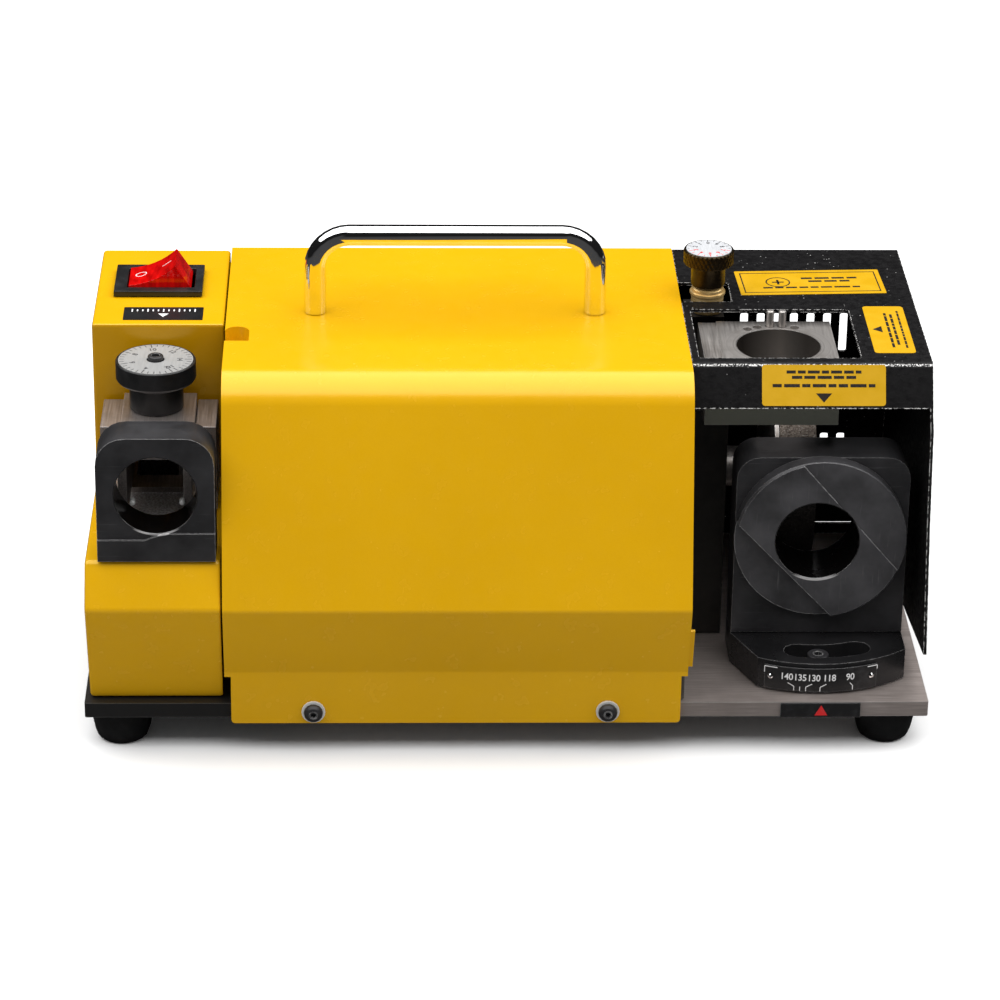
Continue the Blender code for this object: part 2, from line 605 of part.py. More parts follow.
def build_switch():
    x, y = SWITCH_X, SWITCH_Y
    seat = CASING_TOP + GAP
    rim = seat + 2.4 * MM
    bezel = box("switch_bezel", (x - 18.0 * MM, y - 14.0 * MM, seat), (x + 16.2 * MM, y + 14.0 * MM, rim),
                "black_plastic")
    body = box("switch_body", (x - 14.1 * MM, y - 12.0 * MM, 128 * MM),
               (x + 14.1 * MM, y + 12.0 * MM, rim - 1 * MM))
    pocket = box("rocker_pocket", (x - 13.0 * MM, y - 9.5 * MM, 132 * MM),
                 (x + 13.0 * MM, y + 9.5 * MM, rim + 1 * MM))
    cut(join(bezel, body), pocket)
    crest = arc((x - 14.5 * MM, ROCKER_PIVOT_Z + 34.8 * MM), 29.0 * MM, -86, -46, 8)
    flank = [(x + 11.8 * MM, ROCKER_PIVOT_Z + 4.5 * MM), (x + 10.5 * MM, ROCKER_PIVOT_Z - 4.0 * MM),
             (x - 10.5 * MM, ROCKER_PIVOT_Z - 4.0 * MM), (x - 12.3 * MM, ROCKER_PIVOT_Z + 2.0 * MM)]
    extruded("switch_rocker", [crest + flank], "XZ", y - 9.2 * MM, 18.4 * MM, "red_plastic")


def build_inlet():
    x, z, back = INLET_X, INLET_Z, COVER_BACK
    face = REAR_REACH
    flange = rectangle(x - 15.5 * MM, x + 15.5 * MM, z - 12 * MM, z + 12 * MM, 2 * MM)
    inlet = extruded("power_inlet", [flange], "XZ", back + GAP, face - back - GAP, "black_plastic")
    body = box("inlet_body", (x - 13.6 * MM, 131 * MM, z - 9.7 * MM),
               (x + 13.6 * MM, face - 1 * MM, z + 9.7 * MM))
    socket = rounded([(x - 12 * MM, z - 8 * MM, 1 * MM), (x + 12 * MM, z - 8 * MM, 1 * MM),
                      (x + 12 * MM, z + 4 * MM, 1 * MM), (x + 8 * MM, z + 8 * MM, 1 * MM),
                      (x - 8 * MM, z + 8 * MM, 1 * MM), (x - 12 * MM, z + 4 * MM, 1 * MM)], 3)
    hollow = extruded("inlet_socket", [socket], "XZ", 133 * MM, 20 * MM)
    cut(join(inlet, body), hollow)
    for number, (across, up) in enumerate(((-7, -1), (0, 3), (7, -1))):
        blade = box(f"inlet_blade_{number}",
                    (x + across * MM - 1 * MM, 132 * MM, z + up * MM - 2 * MM),
                    (x + across * MM + 1 * MM, 146 * MM, z + up * MM + 2 * MM))
        join(inlet, blade)
    cap = [(0.0, 2.7 * MM), (6.0 * MM, 2.7 * MM), (7.0 * MM, 1.6 * MM), (8.6 * MM, 1.4 * MM),
           (8.6 * MM, GAP), (6.5 * MM, GAP), (6.5 * MM, -20 * MM), (0.0, -20 * MM)]
    turned("fuse_cap", cap, (x, back, FUSE_Z), "Y", "black_plastic", 24)


# ---------------------------------------------------------------- web-thinning port

def build_web_port():
    x, z = WEB_PORT_X, WEB_PORT_Z
    bar_left, bar_right = -145.9 * MM, -118.2 * MM
    guide = box("web_guide_block", (-153.9 * MM, 41.7 * MM, SHELF_Z + GAP),
                (-110.2 * MM, CASING_FACE_Y - 2.3 * MM, 116.7 * MM), "ground_steel")
    cut(guide, box("guide_channel", (bar_left - GAP, 38 * MM, 91.7 * MM),
                   (bar_right + GAP, 75 * MM, 130 * MM)))
    join(guide, box("port_floor", (-149.5 * MM, 14.6 * MM, SHELF_Z + GAP), (-114.5 * MM, 45 * MM, 89.2 * MM)))
    cut(guide, box("wheel_slot", (WEB_PORT_X - 10 * MM, 53 * MM, SHELF_Z - 5 * MM),
                   (WEB_PORT_X + 10 * MM, 75 * MM, 95 * MM)))
    section = [(bar_left, 92 * MM), (bar_left + 3.4 * MM, 92 * MM), (bar_left + 3.4 * MM, 116 * MM),
               (bar_right - 3.4 * MM, 116 * MM), (bar_right - 3.4 * MM, 92 * MM), (bar_right, 92 * MM),
               (bar_right, 120 * MM), (bar_left, 120 * MM)]
    extruded("web_slide_bar", [section], "XZ", 13.3 * MM, 53.0 * MM, "ground_steel")
    front, back = -4.0 * MM, 13.0 * MM
    outline = rounded([(-153.0 * MM, SHELF_Z + 0.5 * MM, 0), (-109.3 * MM, SHELF_Z + 0.5 * MM, 0),
                       (-109.3 * MM, 132.0 * MM, 11 * MM), (-153.0 * MM, 132.0 * MM, 11 * MM)])
    port = extruded("web_port_block", [outline, circle((x, z), WEB_PORT_RADIUS, ROUND)], "XZ", front,
                    back - front, "black_oxide")
    face = [(-160 * MM, 91.2 * MM), (-135.5 * MM, 91.2 * MM), (-128.5 * MM, 93.8 * MM),
            (-100 * MM, 93.8 * MM), (-100 * MM, 140 * MM), (-160 * MM, 140 * MM)]
    cut(port, extruded("port_face_step", [face], "XZ", front - 2 * MM, 2.8 * MM))
    build_web_knob()


def build_web_knob():
    place = (WEB_KNOB_X, WEB_KNOB_Y, 0.0)
    rim = 15.2 * MM
    profile = [(0.0, 138.7 * MM), (14.5 * MM, 138.7 * MM), (14.5 * MM, 139.4 * MM), (14.9 * MM, 139.4 * MM),
               (rim, 139.1 * MM), (rim, 132.6 * MM), (14.6 * MM, 131.7 * MM), (10.8 * MM, 130.4 * MM),
               (10.2 * MM, 129.6 * MM), (10.2 * MM, 120.0 * MM + GAP), (0.0, 120.0 * MM + GAP)]
    turned("web_knob", profile, place, "Z", "black_plastic", 32)
    disc = [(3.4 * MM, 139.5 * MM), (14.2 * MM, 139.5 * MM), (14.2 * MM, 139.0 * MM), (3.4 * MM, 139.0 * MM)]
    turned("web_dial_disc", disc, place, "Z", "dial_plate", 32, ring=True)
    screw = [(0.0, 139.8 * MM), (1.5 * MM, 139.8 * MM), (1.5 * MM, 141.2 * MM), (2.6 * MM, 141.2 * MM),
             (3.0 * MM, 140.8 * MM), (3.0 * MM, 139.0 * MM), (0.0, 139.0 * MM)]
    turned("web_knob_screw", screw, place, "Z", "black_oxide", SMALL)


# ---------------------------------------------------------------- guard over the grinding bay

def build_guard():
    left, right = GUARD_X
    top, back, foot = GUARD_TOP, GUARD_BACK, GUARD_FOOT
    lip = (25.0 * MM, 131.8 * MM)
    side = rounded([(back, foot, 0), (back, top, 1.5 * MM), (32.5 * MM, top, 3 * MM), (*lip, 0),
                    (20.2 * MM, 124.0 * MM, 0), (14.8 * MM, 89.9 * MM, 0), (3.0 * MM, 39.6 * MM, 0),
                    (122.0 * MM, foot, 0)], 4)
    guard = extruded("guard", [side], "YZ", left, right - left, "black_paint")
    round_fold(guard, right - left, lip[1])
    far = -30.0 * MM
    hollow = [(back - SHEET, foot - 20 * MM), (back - SHEET, top - SHEET), (33.2 * MM, top - SHEET),
              (lip[0] + 1.3 * MM, lip[1]), (far, lip[1]), (far, foot - 20 * MM)]
    cut(guard, extruded("guard_hollow", [hollow], "YZ", left - 5 * MM, right - left + 5 * MM - SHEET))
    window = rectangle(*WINDOW_X, *WINDOW_Y, 1 * MM)
    cut(guard, extruded("guard_window", [window], "XY", top - 5 * MM, 10 * MM))
    notch = rectangle(left - 9 * MM, NOTCH_RIGHT, *NOTCH_Y, 1 * MM)
    cut(guard, extruded("knob_notch", [notch], "XY", top - 5 * MM, 10 * MM))
    openings = [rectangle(*SEAM_X, *SEAM_Z)]
    openings += slot_row(FIRST_SLOT_X, SLOT_COUNT, UPPER_SLOT_Z)
    openings += slot_row(FIRST_LOW_SLOT_X, LOWER_SLOT_COUNT, LOWER_SLOT_Z)
    for number, opening in enumerate(openings):
        cut(guard, extruded(f"guard_opening_{number}", [opening], "XZ", back - 5.3 * MM, 11 * MM))


def slot_row(first, count, height):
    """Outlines of a row of upright ventilation slots with rounded corners."""
    starts = [first - SLOT_WIDTH / 2 + number * SLOT_PITCH for number in range(count)]
    return [rectangle(start, start + SLOT_WIDTH, *height, 0.8 * MM) for start in starts]


def round_fold(guard, width, lip_z):
    """Round the folds between the guard's right side and its top, back and front lip."""
    weights = guard.data.attributes.new("bevel_weight_edge", "FLOAT", "EDGE")
    for edge in guard.data.edges:
        ends = [guard.data.vertices[index].co for index in edge.vertices]
        on_side = all(end.z > width / 2 - 0.1 * MM for end in ends)
        folded = all(end.y > lip_z - 0.1 * MM or end.x > GUARD_BACK - 0.1 * MM for end in ends)
        weights.data[edge.index].value = 1.0 if on_side and folded else 0.0
    bevel = guard.modifiers.new("round_fold", "BEVEL")
    bevel.width = 1.8 * MM
    bevel.segments = 3
    bevel.limit_method = "WEIGHT"


# ---------------------------------------------------------------- relief-angle port

def build_relief_port():
    outline = rectangle(*RELIEF_X, *RELIEF_Y)
    bore = circle((RELIEF_BORE_X, RELIEF_BORE_Y), RELIEF_BORE_RADIUS, ROUND)
    bottom, top = RELIEF_Z
    block = extruded("relief_port_block", [outline, bore], "XY", bottom, top - bottom, "ground_steel")
    left = RELIEF_X[0]
    cut(block, box("relief_step", (left - 5 * MM, 40 * MM, top - 0.6 * MM),
                   (81.1 * MM, 90 * MM, top + 5 * MM)))
    for number, angle in enumerate(RELIEF_HOLE_ANGLES):
        x, y = relief_hole(angle)
        cut(block, cylinder(f"relief_hole_{number}", RELIEF_PIN_RADIUS + GAP, (x, y, top - 4 * MM), 8 * MM,
                            "Z", None, 12))
    for side, angle in zip(("left", "right"), RELIEF_PIN_ANGLES):
        x, y = relief_hole(angle)
        profile = [(0.0, 148.0 * MM), (1.1 * MM, 148.0 * MM), (1.5 * MM, 147.5 * MM), (1.5 * MM, 137.8 * MM),
                   (0.0, 137.8 * MM)]
        turned("relief_pin_" + side, profile, (x, y, 0.0), "Z", "ground_steel", 12)
    build_bracket()
    build_relief_knob()


def relief_hole(angle):
    turn = math.radians(angle)
    return (RELIEF_BORE_X + RELIEF_PIN_CIRCLE * math.cos(turn),
            RELIEF_BORE_Y + RELIEF_PIN_CIRCLE * math.sin(turn))


def build_bracket():
    """Cast bracket that carries the relief port and its knob; the spindle passes through it."""
    foot, ledge, crown = PLATE_TOP + GAP, RELIEF_Z[0] - GAP, BRACKET_TOP
    side = [(57 * MM, foot), (110 * MM, foot), (110 * MM, crown), (92 * MM, crown), (92 * MM, ledge),
            (57 * MM, ledge)]
    hole = circle((SPINDLE_Y, SPINDLE_Z), 12.0 * MM)
    extruded("grinding_bracket", [side, hole], "YZ", BRACKET_X[0], BRACKET_X[1] - BRACKET_X[0], "cast_iron")


def build_relief_knob():
    place = (RELIEF_KNOB_X, RELIEF_KNOB_Y, 0.0)
    nut = arc(place[:2], 6.3 * MM, 0, 300, 5)
    extruded("relief_nut", [nut], "XY", BRACKET_TOP + GAP, 7.4 * MM, "brass")
    head = 9.8 * MM
    profile = [(0.0, 166.0 * MM), (9.1 * MM, 166.0 * MM), (9.1 * MM, 166.7 * MM), (9.5 * MM, 166.7 * MM),
               (head, 166.3 * MM), (head, 161.4 * MM), (9.3 * MM, 160.8 * MM), (6.9 * MM, 160.2 * MM),
               (6.6 * MM, 159.6 * MM), (6.6 * MM, 149.6 * MM), (6.0 * MM, 149.0 * MM), (0.0, 149.0 * MM)]
    turned("relief_knob", profile, place, "Z", "bronze", 28)
    disc = [(0.0, 166.8 * MM), (8.8 * MM, 166.8 * MM), (8.8 * MM, 166.3 * MM), (0.0, 166.3 * MM)]
    turned("relief_dial_disc", disc, place, "Z", "dial_plate", 28)


# ---------------------------------------------------------------- swivelling point-angle head

def build_head():
    build_head_base()
    build_head_block()
    build_scale()
    lock = (PIVOT_X, PIVOT_Y - LOCK_RADIUS, 0.0)
    screw = [(0.0, 29.6 * MM), (2.0 * MM, 29.6 * MM), (2.0 * MM, 32.8 * MM), (3.8 * MM, 32.8 * MM),
             (4.2 * MM, 32.4 * MM), (4.2 * MM, 27.8 * MM), (2.4 * MM, 27.8 * MM), (2.4 * MM, 15.5 * MM),
             (0.0, 15.5 * MM)]
    turned("swivel_lock_screw", screw, lock, "Z", "black_oxide", SMALL)
    pin = [(0.0, 36.5 * MM), (5.0 * MM, 36.5 * MM), (5.4 * MM, 36.1 * MM), (5.4 * MM, HEAD_BASE_TOP + GAP),
           (4.0 * MM, HEAD_BASE_TOP + GAP), (4.0 * MM, 15.5 * MM), (0.0, 15.5 * MM)]
    turned("pivot_pin", pin, (PIVOT_X, PIVOT_Y, 0.0), "Z", "chrome", 24)


def build_head_base():
    pivot = (PIVOT_X, PIVOT_Y)
    left, right = HEAD_BLOCK_X
    back = HEAD_BLOCK_Y[1]
    tongue = 15.0 * MM
    outline = [(left, back), (left, HEAD_BLOCK_Y[0])]
    outline += arc(pivot, HEAD_ARC_RADIUS, -117.3, -48.8, 20)
    outline += [(right, back), (PIVOT_X + tongue, back)]
    outline += arc(pivot, tongue, 0, 180, 12)
    outline += [(PIVOT_X - tongue, back)]
    foot = PLATE_TOP + GAP
    through = arc_slot(pivot, LOCK_RADIUS, 2.8 * MM, *LOCK_SLOT_DEGREES)
    base = extruded("head_base", [outline, through, circle(pivot, 4.0 * MM + GAP)], "XY", foot,
                    HEAD_BASE_TOP - foot, "black_oxide")
    wide = arc_slot(pivot, LOCK_RADIUS, 5.3 * MM, *LOCK_SLOT_DEGREES)
    cut(base, extruded("lock_counterbore", [wide], "XY", 27.5 * MM, 10 * MM))


def build_head_block():
    left, right = HEAD_BLOCK_X
    front, back = HEAD_BLOCK_Y
    foot = HEAD_BASE_TOP + GAP
    outline = rounded([(left, foot, 0), (right, foot, 0), (right, HEAD_BLOCK_TOP, 9 * MM),
                       (left, HEAD_BLOCK_TOP, 9 * MM)])
    axis = (HEAD_BORE_X, SPINDLE_Z)
    extruded("head_block", [outline, circle(axis, 19.3 * MM, ROUND)], "XZ", front, back - front,
             "black_oxide")
    face, seat, rear = 26.5 * MM, front - GAP, back - 1 * MM
    profile = [(0.0, seat), (DISH_RADIUS, seat), (DISH_RADIUS, face + DISH_EASE),
               (DISH_RADIUS - DISH_EASE, face), (0.0, face)]
    port = turned("head_port", profile, (PIVOT_X, 0.0, SPINDLE_Z), "Y", "black_oxide", 48)
    flat_cut(port, "port_recess", (-14.0 * MM, -11.7 * MM), -136.4, face + 3.6 * MM)
    flat_cut(port, "port_relief", (12.4 * MM, 7.9 * MM), 40.7, face + 0.5 * MM)
    spigot_start = face + 5 * MM
    join(port, cylinder("port_spigot", 19.0 * MM, (HEAD_BORE_X, spigot_start, SPINDLE_Z), rear - spigot_start,
                        "Y", facets=ROUND))
    bore_start = face - 5 * MM
    cut(port, cylinder("port_bore", HEAD_BORE_RADIUS, (HEAD_BORE_X, bore_start, SPINDLE_Z),
                       rear + 5 * MM - bore_start, "Y", facets=ROUND))


def flat_cut(port, name, middle, facing, floor):
    """Cut the port's face back to a floor, on the far side of a straight step line."""
    turn = math.radians(facing)
    out = Vector((math.cos(turn), math.sin(turn)))
    side = Vector((-out.y, out.x)) * 50 * MM
    start = Vector((PIVOT_X, SPINDLE_Z)) + Vector(middle)
    far = start + out * 40 * MM
    corners = [start - side, start + side, far + side, far - side]
    cut(port, extruded(name, [[tuple(corner) for corner in corners]], "XZ", floor - 8 * MM, 8 * MM))


def build_scale():
    pivot = (PIVOT_X, PIVOT_Y)
    inner, outer = HEAD_ARC_RADIUS + GAP, HEAD_ARC_RADIUS + 0.8 * MM
    band = arc(pivot, outer, -113.8, -65.0, 16) + arc(pivot, inner, -65.0, -113.8, 16)
    extruded("scale_plate", [band], "XY", 22.2 * MM, 9.8 * MM, "black_paint")
    for side, angle in (("left", -111.2), ("right", -67.6)):
        turn = math.radians(angle)
        radius = outer + GAP
        rivet = [(0.0, 0.5 * MM), (0.6 * MM, 0.45 * MM), (1.1 * MM, 0.0), (0.0, 0.0)]
        place = (PIVOT_X + radius * math.cos(turn), PIVOT_Y + radius * math.sin(turn), 27.4 * MM)
        obj = turned("scale_rivet_" + side, rivet, place, "Z", "chrome", 12)
        obj.rotation_euler = (0.0, math.pi / 2, turn)


# ---------------------------------------------------------------- assembly

MOVING = {                          # joint empty: (place in the bench frame, pieces that hang on it)
    "switch_rocker_axis": ((SWITCH_X, SWITCH_Y, ROCKER_PIVOT_Z), ("switch_rocker",)),
    "web_carriage_slide": ((WEB_PORT_X, 0.0, WEB_PORT_Z), ("web_slide_bar", "web_port_block")),
    "web_dial_axis": ((WEB_KNOB_X, WEB_KNOB_Y, 139.4 * MM), ("web_knob", "web_dial_disc", "web_knob_screw")),
    "relief_carriage_slide": ((RELIEF_BORE_X, RELIEF_BORE_Y, RELIEF_Z[1]),
                              ("relief_port_block", "relief_pin_left", "relief_pin_right")),
    "relief_dial_axis": ((RELIEF_KNOB_X, RELIEF_KNOB_Y, 166.7 * MM), ("relief_knob", "relief_dial_disc")),
    "head_swivel_axis": ((PIVOT_X, PIVOT_Y, PLATE_TOP),
                         ("head_base", "head_block", "head_port", "scale_plate", "scale_rivet_left",
                          "scale_rivet_right")),
    "lock_screw_axis": ((PIVOT_X, PIVOT_Y - LOCK_RADIUS, 32.8 * MM), ("swivel_lock_screw",)),
    "spindle_axis": ((0.0, SPINDLE_Y, SPINDLE_Z),
                     ("spindle_shaft", "rotor_core", "cooling_fan", "point_wheel", "point_wheel_backing",
                      "point_wheel_nut", "web_wheel", "web_wheel_backing", "web_wheel_nut")),
}


def add_empty(name, location, parent=None):
    empty = bpy.data.objects.new(name, None)
    empty.location = location
    empty.parent = parent
    PARTS.objects.link(empty)
    return empty


def hang(obj, empty, empty_place):
    """Parent a piece and its cutters to an empty, keeping their places in the bench frame."""
    family = [obj] + [m.object for m in obj.modifiers if m.type == "BOOLEAN"]
    for member in family:
        member.parent = empty
        member.location = Vector(member.location) - Vector(empty_place)


def assemble():
    pieces = list(PARTS.objects)
    machine = add_empty("machine", (0.0, -(FRONT_REACH + REAR_REACH) / 2, 0.0))
    owner = {piece: joint for joint, (_, names) in MOVING.items() for piece in names}
    empties = {joint: add_empty(joint, place, machine) for joint, (place, _) in MOVING.items()}
    for piece in pieces:
        joint = owner.get(piece.name)
        if joint is None:
            hang(piece, machine, (0.0, 0.0, 0.0))
        else:
            hang(piece, empties[joint], MOVING[joint][0])


def build():
    build_base()
    build_motor()
    build_spindle()
    build_cover()
    build_casing()
    build_web_port()
    build_guard()
    build_relief_port()
    build_head()
    assemble()


build()
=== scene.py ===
import math
import random

import bmesh
import bpy
from mathutils import Matrix, Vector


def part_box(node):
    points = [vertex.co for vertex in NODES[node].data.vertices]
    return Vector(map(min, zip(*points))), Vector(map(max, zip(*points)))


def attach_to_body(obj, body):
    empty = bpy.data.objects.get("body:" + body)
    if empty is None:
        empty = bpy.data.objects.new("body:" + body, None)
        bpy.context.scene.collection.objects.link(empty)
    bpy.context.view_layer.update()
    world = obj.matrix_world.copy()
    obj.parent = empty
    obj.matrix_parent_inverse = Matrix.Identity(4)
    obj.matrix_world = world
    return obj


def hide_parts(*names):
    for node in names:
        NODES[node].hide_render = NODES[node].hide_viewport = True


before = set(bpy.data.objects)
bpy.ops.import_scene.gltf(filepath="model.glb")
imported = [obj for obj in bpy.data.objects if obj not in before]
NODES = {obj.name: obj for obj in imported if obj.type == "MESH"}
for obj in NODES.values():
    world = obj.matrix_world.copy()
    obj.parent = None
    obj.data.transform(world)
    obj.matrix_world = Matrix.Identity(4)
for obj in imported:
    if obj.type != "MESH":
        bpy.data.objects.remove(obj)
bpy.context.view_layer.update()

MM = 0.001
PLATE_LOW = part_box("base_plate")[0]
GUARD_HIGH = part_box("guard")[1]
COVER_LOW, COVER_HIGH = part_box("main_cover")
CASING_LOW, CASING_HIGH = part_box("left_casing")
RELIEF_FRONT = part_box("relief_port_block")[0].y
SKIN = 0.06 * MM                    # how far a printed mark stands off its label
VINYL = 0.14 * MM                   # thickness of a sticker
DIAL_SKIN = 0.03 * MM               # thickness of a dial's print
RIGHT, BACK, UP = Vector((1.0, 0.0, 0.0)), Vector((0.0, 1.0, 0.0)), Vector((0.0, 0.0, 1.0))

# places on the machine in millimetres: x from the plate's middle, y behind its front edge, z up
CASING_WALL_Y = 70.0                # the casing's upright wall behind the web port
CASING_SHELF_Z = 82.0               # the shelf that the port stands on
WEB_PORT_X, WEB_PORT_Y, WEB_PORT_Z = -131.1, -4.0, 109.1
WEB_PORT_RADIUS = 15.4
GUIDE_FLOOR_Z = 89.4
SWITCH_X = -133.15
ROCKER_PIVOT_Z = 144.0
ROCKER_HOLLOW = (14.5, 34.8, 29.0)  # left of the switch, over the pivot, and the radius
RELIEF_X, RELIEF_Y = 103.3, 62.5
HEAD_BORE_X, HEAD_BORE_Y, HEAD_BORE_Z = 117.6, 26.5, 76.0
HEAD_BORE_RADIUS = 16.0
PIVOT_X, PIVOT_Y = 119.0, 58.0
SCALE_RADIUS, SCALE_Z = 52.0, 27.1
GUARD_FOLD_Y, GUARD_FOLD_Z = 32.5, 147.0
GUARD_LIP_Y, GUARD_LIP_Z = 25.0, 131.8


def at(x, y, z):
    """A point in metres from a place in millimetres."""
    return Vector((x * MM, PLATE_LOW.y + y * MM, z * MM))


def depth(y):
    """Millimetres behind the plate's front edge, from a y in metres."""
    return (y - PLATE_LOW.y) / MM


def centre_of(name):
    low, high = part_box(name)
    return (low + high) / 2


def top_of(name):
    """The middle of a piece's top face."""
    return Vector((*centre_of(name).xy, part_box(name)[1].z))


# ---------------------------------------------------------------- shader building blocks

class Paint:
    """A Principled material and the few node shortcuts that its finishes share."""

    def __init__(self, name, roughness, metallic, specular):
        self.material = bpy.data.materials.new(name)
        self.material.use_nodes = True
        self.tree = self.material.node_tree
        self.tree.nodes.clear()
        self.shader = self.tree.nodes.new("ShaderNodeBsdfPrincipled")
        output = self.tree.nodes.new("ShaderNodeOutputMaterial")
        self.tree.links.new(self.shader.outputs["BSDF"], output.inputs["Surface"])
        self.set("Roughness", roughness)
        self.set("Metallic", metallic)
        self.set("Specular IOR Level", specular)
        self.place = self.node("TexCoord").outputs["Object"]

    def set(self, socket, value):
        """Set one of the shader's sockets to a number, or feed it from a node."""
        target = self.shader.inputs[socket]
        if isinstance(value, bpy.types.NodeSocket):
            self.tree.links.new(value, target)
        else:
            target.default_value = value

    def node(self, kind, inputs=(), **settings):
        made = self.tree.nodes.new("ShaderNode" + kind)
        for name, value in settings.items():
            setattr(made, name, value)
        for key, value in dict(inputs).items():
            if isinstance(value, bpy.types.NodeSocket):
                self.tree.links.new(value, made.inputs[key])
            else:
                made.inputs[key].default_value = value
        return made

    def stretched(self, x, y, z):
        """The surface position with each axis scaled, which draws grain out along the smallest."""
        return self.node("Mapping", {"Vector": self.place, "Scale": (x, y, z)}).outputs["Vector"]

    def noise(self, scale, detail=3.0, roughness=0.55, vector=None):
        inputs = {"Vector": vector or self.place, "Scale": scale, "Detail": detail, "Roughness": roughness}
        return self.node("TexNoise", inputs).outputs["Fac"]

    def tool_lines(self, along, across_scale, along_scale, roughness):
        """Fine noise drawn out along an axis."""
        scales = [across_scale] * 3
        scales["XYZ".index(along)] = along_scale
        return self.noise(1.0, 3.0, roughness, self.stretched(*scales))

    def cells(self, scale, output="Distance"):
        return self.node("TexVoronoi", {"Vector": self.place, "Scale": scale}).outputs[output]

    def ramp(self, value, low, high, to_low=0.0, to_high=1.0):
        inputs = {"Value": value, "From Min": low, "From Max": high, "To Min": to_low, "To Max": to_high}
        return self.node("MapRange", inputs).outputs["Result"]

    def maths(self, operation, first, second=0.0):
        return self.node("Math", {0: first, 1: second}, operation=operation).outputs["Value"]

    def product(self, first, second):
        return self.maths("MULTIPLY", first, second)

    def vector(self, operation, first, second, output="Vector"):
        return self.node("VectorMath", {0: first, 1: second}, operation=operation).outputs[output]

    def length(self, vector):
        return self.node("VectorMath", {0: vector}, operation="LENGTH").outputs["Value"]

    def blend(self, factor, first, second):
        mix = self.node("Mix", {0: factor}, data_type="RGBA")
        for index, colour in ((6, first), (7, second)):
            if isinstance(colour, bpy.types.NodeSocket):
                self.tree.links.new(colour, mix.inputs[index])
            else:
                mix.inputs[index].default_value = (*colour, 1.0)
        return mix.outputs[2]

    def axis(self, letter):
        return self.node("SeparateXYZ", {"Vector": self.place}).outputs[letter]

    def off(self, letter, value):
        """How far the surface is from a value along an axis."""
        return self.maths("ABSOLUTE", self.maths("SUBTRACT", self.axis(letter), value))

    def worn_edge(self, radius, low=0.02, high=0.16):
        """1 on sharp outer edges, 0 on flat ground, from a rounded normal."""
        rounded = self.node("Bevel", {"Radius": radius}, samples=6).outputs["Normal"]
        flat = self.node("NewGeometry").outputs["Normal"]
        dot = self.vector("DOT_PRODUCT", rounded, flat, "Value")
        return self.ramp(self.maths("SUBTRACT", 1.0, dot), low, high)

    def bump(self, height, strength, distance, below=None):
        inputs = {"Height": height, "Strength": strength, "Distance": distance}
        if below is not None:
            inputs["Normal"] = below
        normal = self.node("Bump", inputs).outputs["Normal"]
        self.set("Normal", normal)
        return normal


# ---------------------------------------------------------------- finishes

def yellow_powder_coat():
    """Semi-gloss powder coat with a fine grain, and painted shade on the wall behind the web port."""
    paint = Paint("yellow_powder_coat", 0.28, 0.0, 0.9)
    paint.set("Specular Tint", (1.0, 0.88, 0.42, 1.0))
    cloud = paint.ramp(paint.noise(14.0, 3.0), 0.3, 0.7)
    colour = paint.blend(cloud, (0.69, 0.368, 0.0022), (0.73, 0.394, 0.0026))
    fine = paint.ramp(paint.noise(1500.0, 2.0), 0.35, 0.65, 0.0, 0.12)
    colour = paint.blend(fine, colour, (0.60, 0.30, 0.0018))
    # painted shade: the casing's upright wall behind the web port is darkened
    wall = paint.ramp(paint.off("Y", at(0, CASING_WALL_Y, 0).y), 1.0 * MM, 0.5 * MM)
    wall = paint.product(wall, paint.ramp(paint.axis("Z"), CASING_SHELF_Z * MM, (CASING_SHELF_Z + 1.0) * MM))
    left = paint.ramp(paint.axis("X"), COVER_LOW.x, COVER_LOW.x - 0.3 * MM)
    dull = paint.product(paint.product(wall, left), 0.7)
    paint.set("Base Color", paint.blend(dull, colour, (0.46, 0.215, 0.0012)))
    paint.set("Roughness", paint.ramp(paint.noise(160.0, 2.0), 0.3, 0.7, 0.21, 0.28))
    paint.bump(paint.noise(2000.0, 2.0), 0.05, 0.05 * MM)
    return paint.material


def wrinkle_black():
    """Black wrinkle paint: its bright specks are painted glints, its cut edges show wear with painted
    highlights, and painted highlights are dotted along the front fold.
    """
    paint = Paint("black_wrinkle_paint", 0.5, 0.0, 0.16)
    ground = paint.blend(paint.noise(60.0), (0.0030, 0.0028, 0.0031), (0.0070, 0.0064, 0.0069))
    # the bright specks are painted glints
    speck_scale = 1000.0
    seed = paint.node("SeparateColor", {"Color": paint.cells(speck_scale, "Color")}).outputs["Red"]
    near = paint.ramp(paint.cells(speck_scale), 0.30, 0.16)
    speck = paint.product(paint.ramp(seed, 0.93, 0.97), near)
    patchy = paint.ramp(paint.noise(70.0, 2.0), 0.48, 0.62)
    speck = paint.product(speck, patchy)
    # the cut edges show wear and a painted highlight, broken into dots
    edge_dots = paint.ramp(paint.noise(900.0, 1.0), 0.44, 0.54)
    edge = paint.product(paint.worn_edge(0.7 * MM, 0.05, 0.22), edge_dots)
    # painted highlight dots along the front fold
    sparkle = paint.ramp(paint.noise(1900.0, 1.0), 0.50, 0.56)
    edge = paint.maths("MAXIMUM", edge, paint.product(fold_line(paint), sparkle))
    painted_glints_and_wear = paint.maths("MAXIMUM", paint.product(speck, 0.6), edge)
    paint.set("Base Color", paint.blend(painted_glints_and_wear, ground, (0.78, 0.77, 0.75)))
    paint.set("Roughness", paint.ramp(paint.noise(420.0, 2.0), 0.35, 0.65, 0.36, 0.58))
    wrinkle = paint.bump(paint.noise(780.0, 3.0, 0.65), 0.55, 0.16 * MM)
    paint.bump(paint.noise(180.0, 2.0), 0.25, 0.3 * MM, wrinkle)
    return paint.material


def fold_line(paint):
    """1 along the guard's front fold, where the sheet turns down towards the operator."""
    near = paint.ramp(paint.off("Y", at(0, GUARD_FOLD_Y, 0).y), 0.5 * MM, 0.2 * MM)
    return paint.product(near, paint.ramp(paint.axis("Z"), GUARD_HIGH.z - 1.6 * MM, GUARD_HIGH.z - MM))


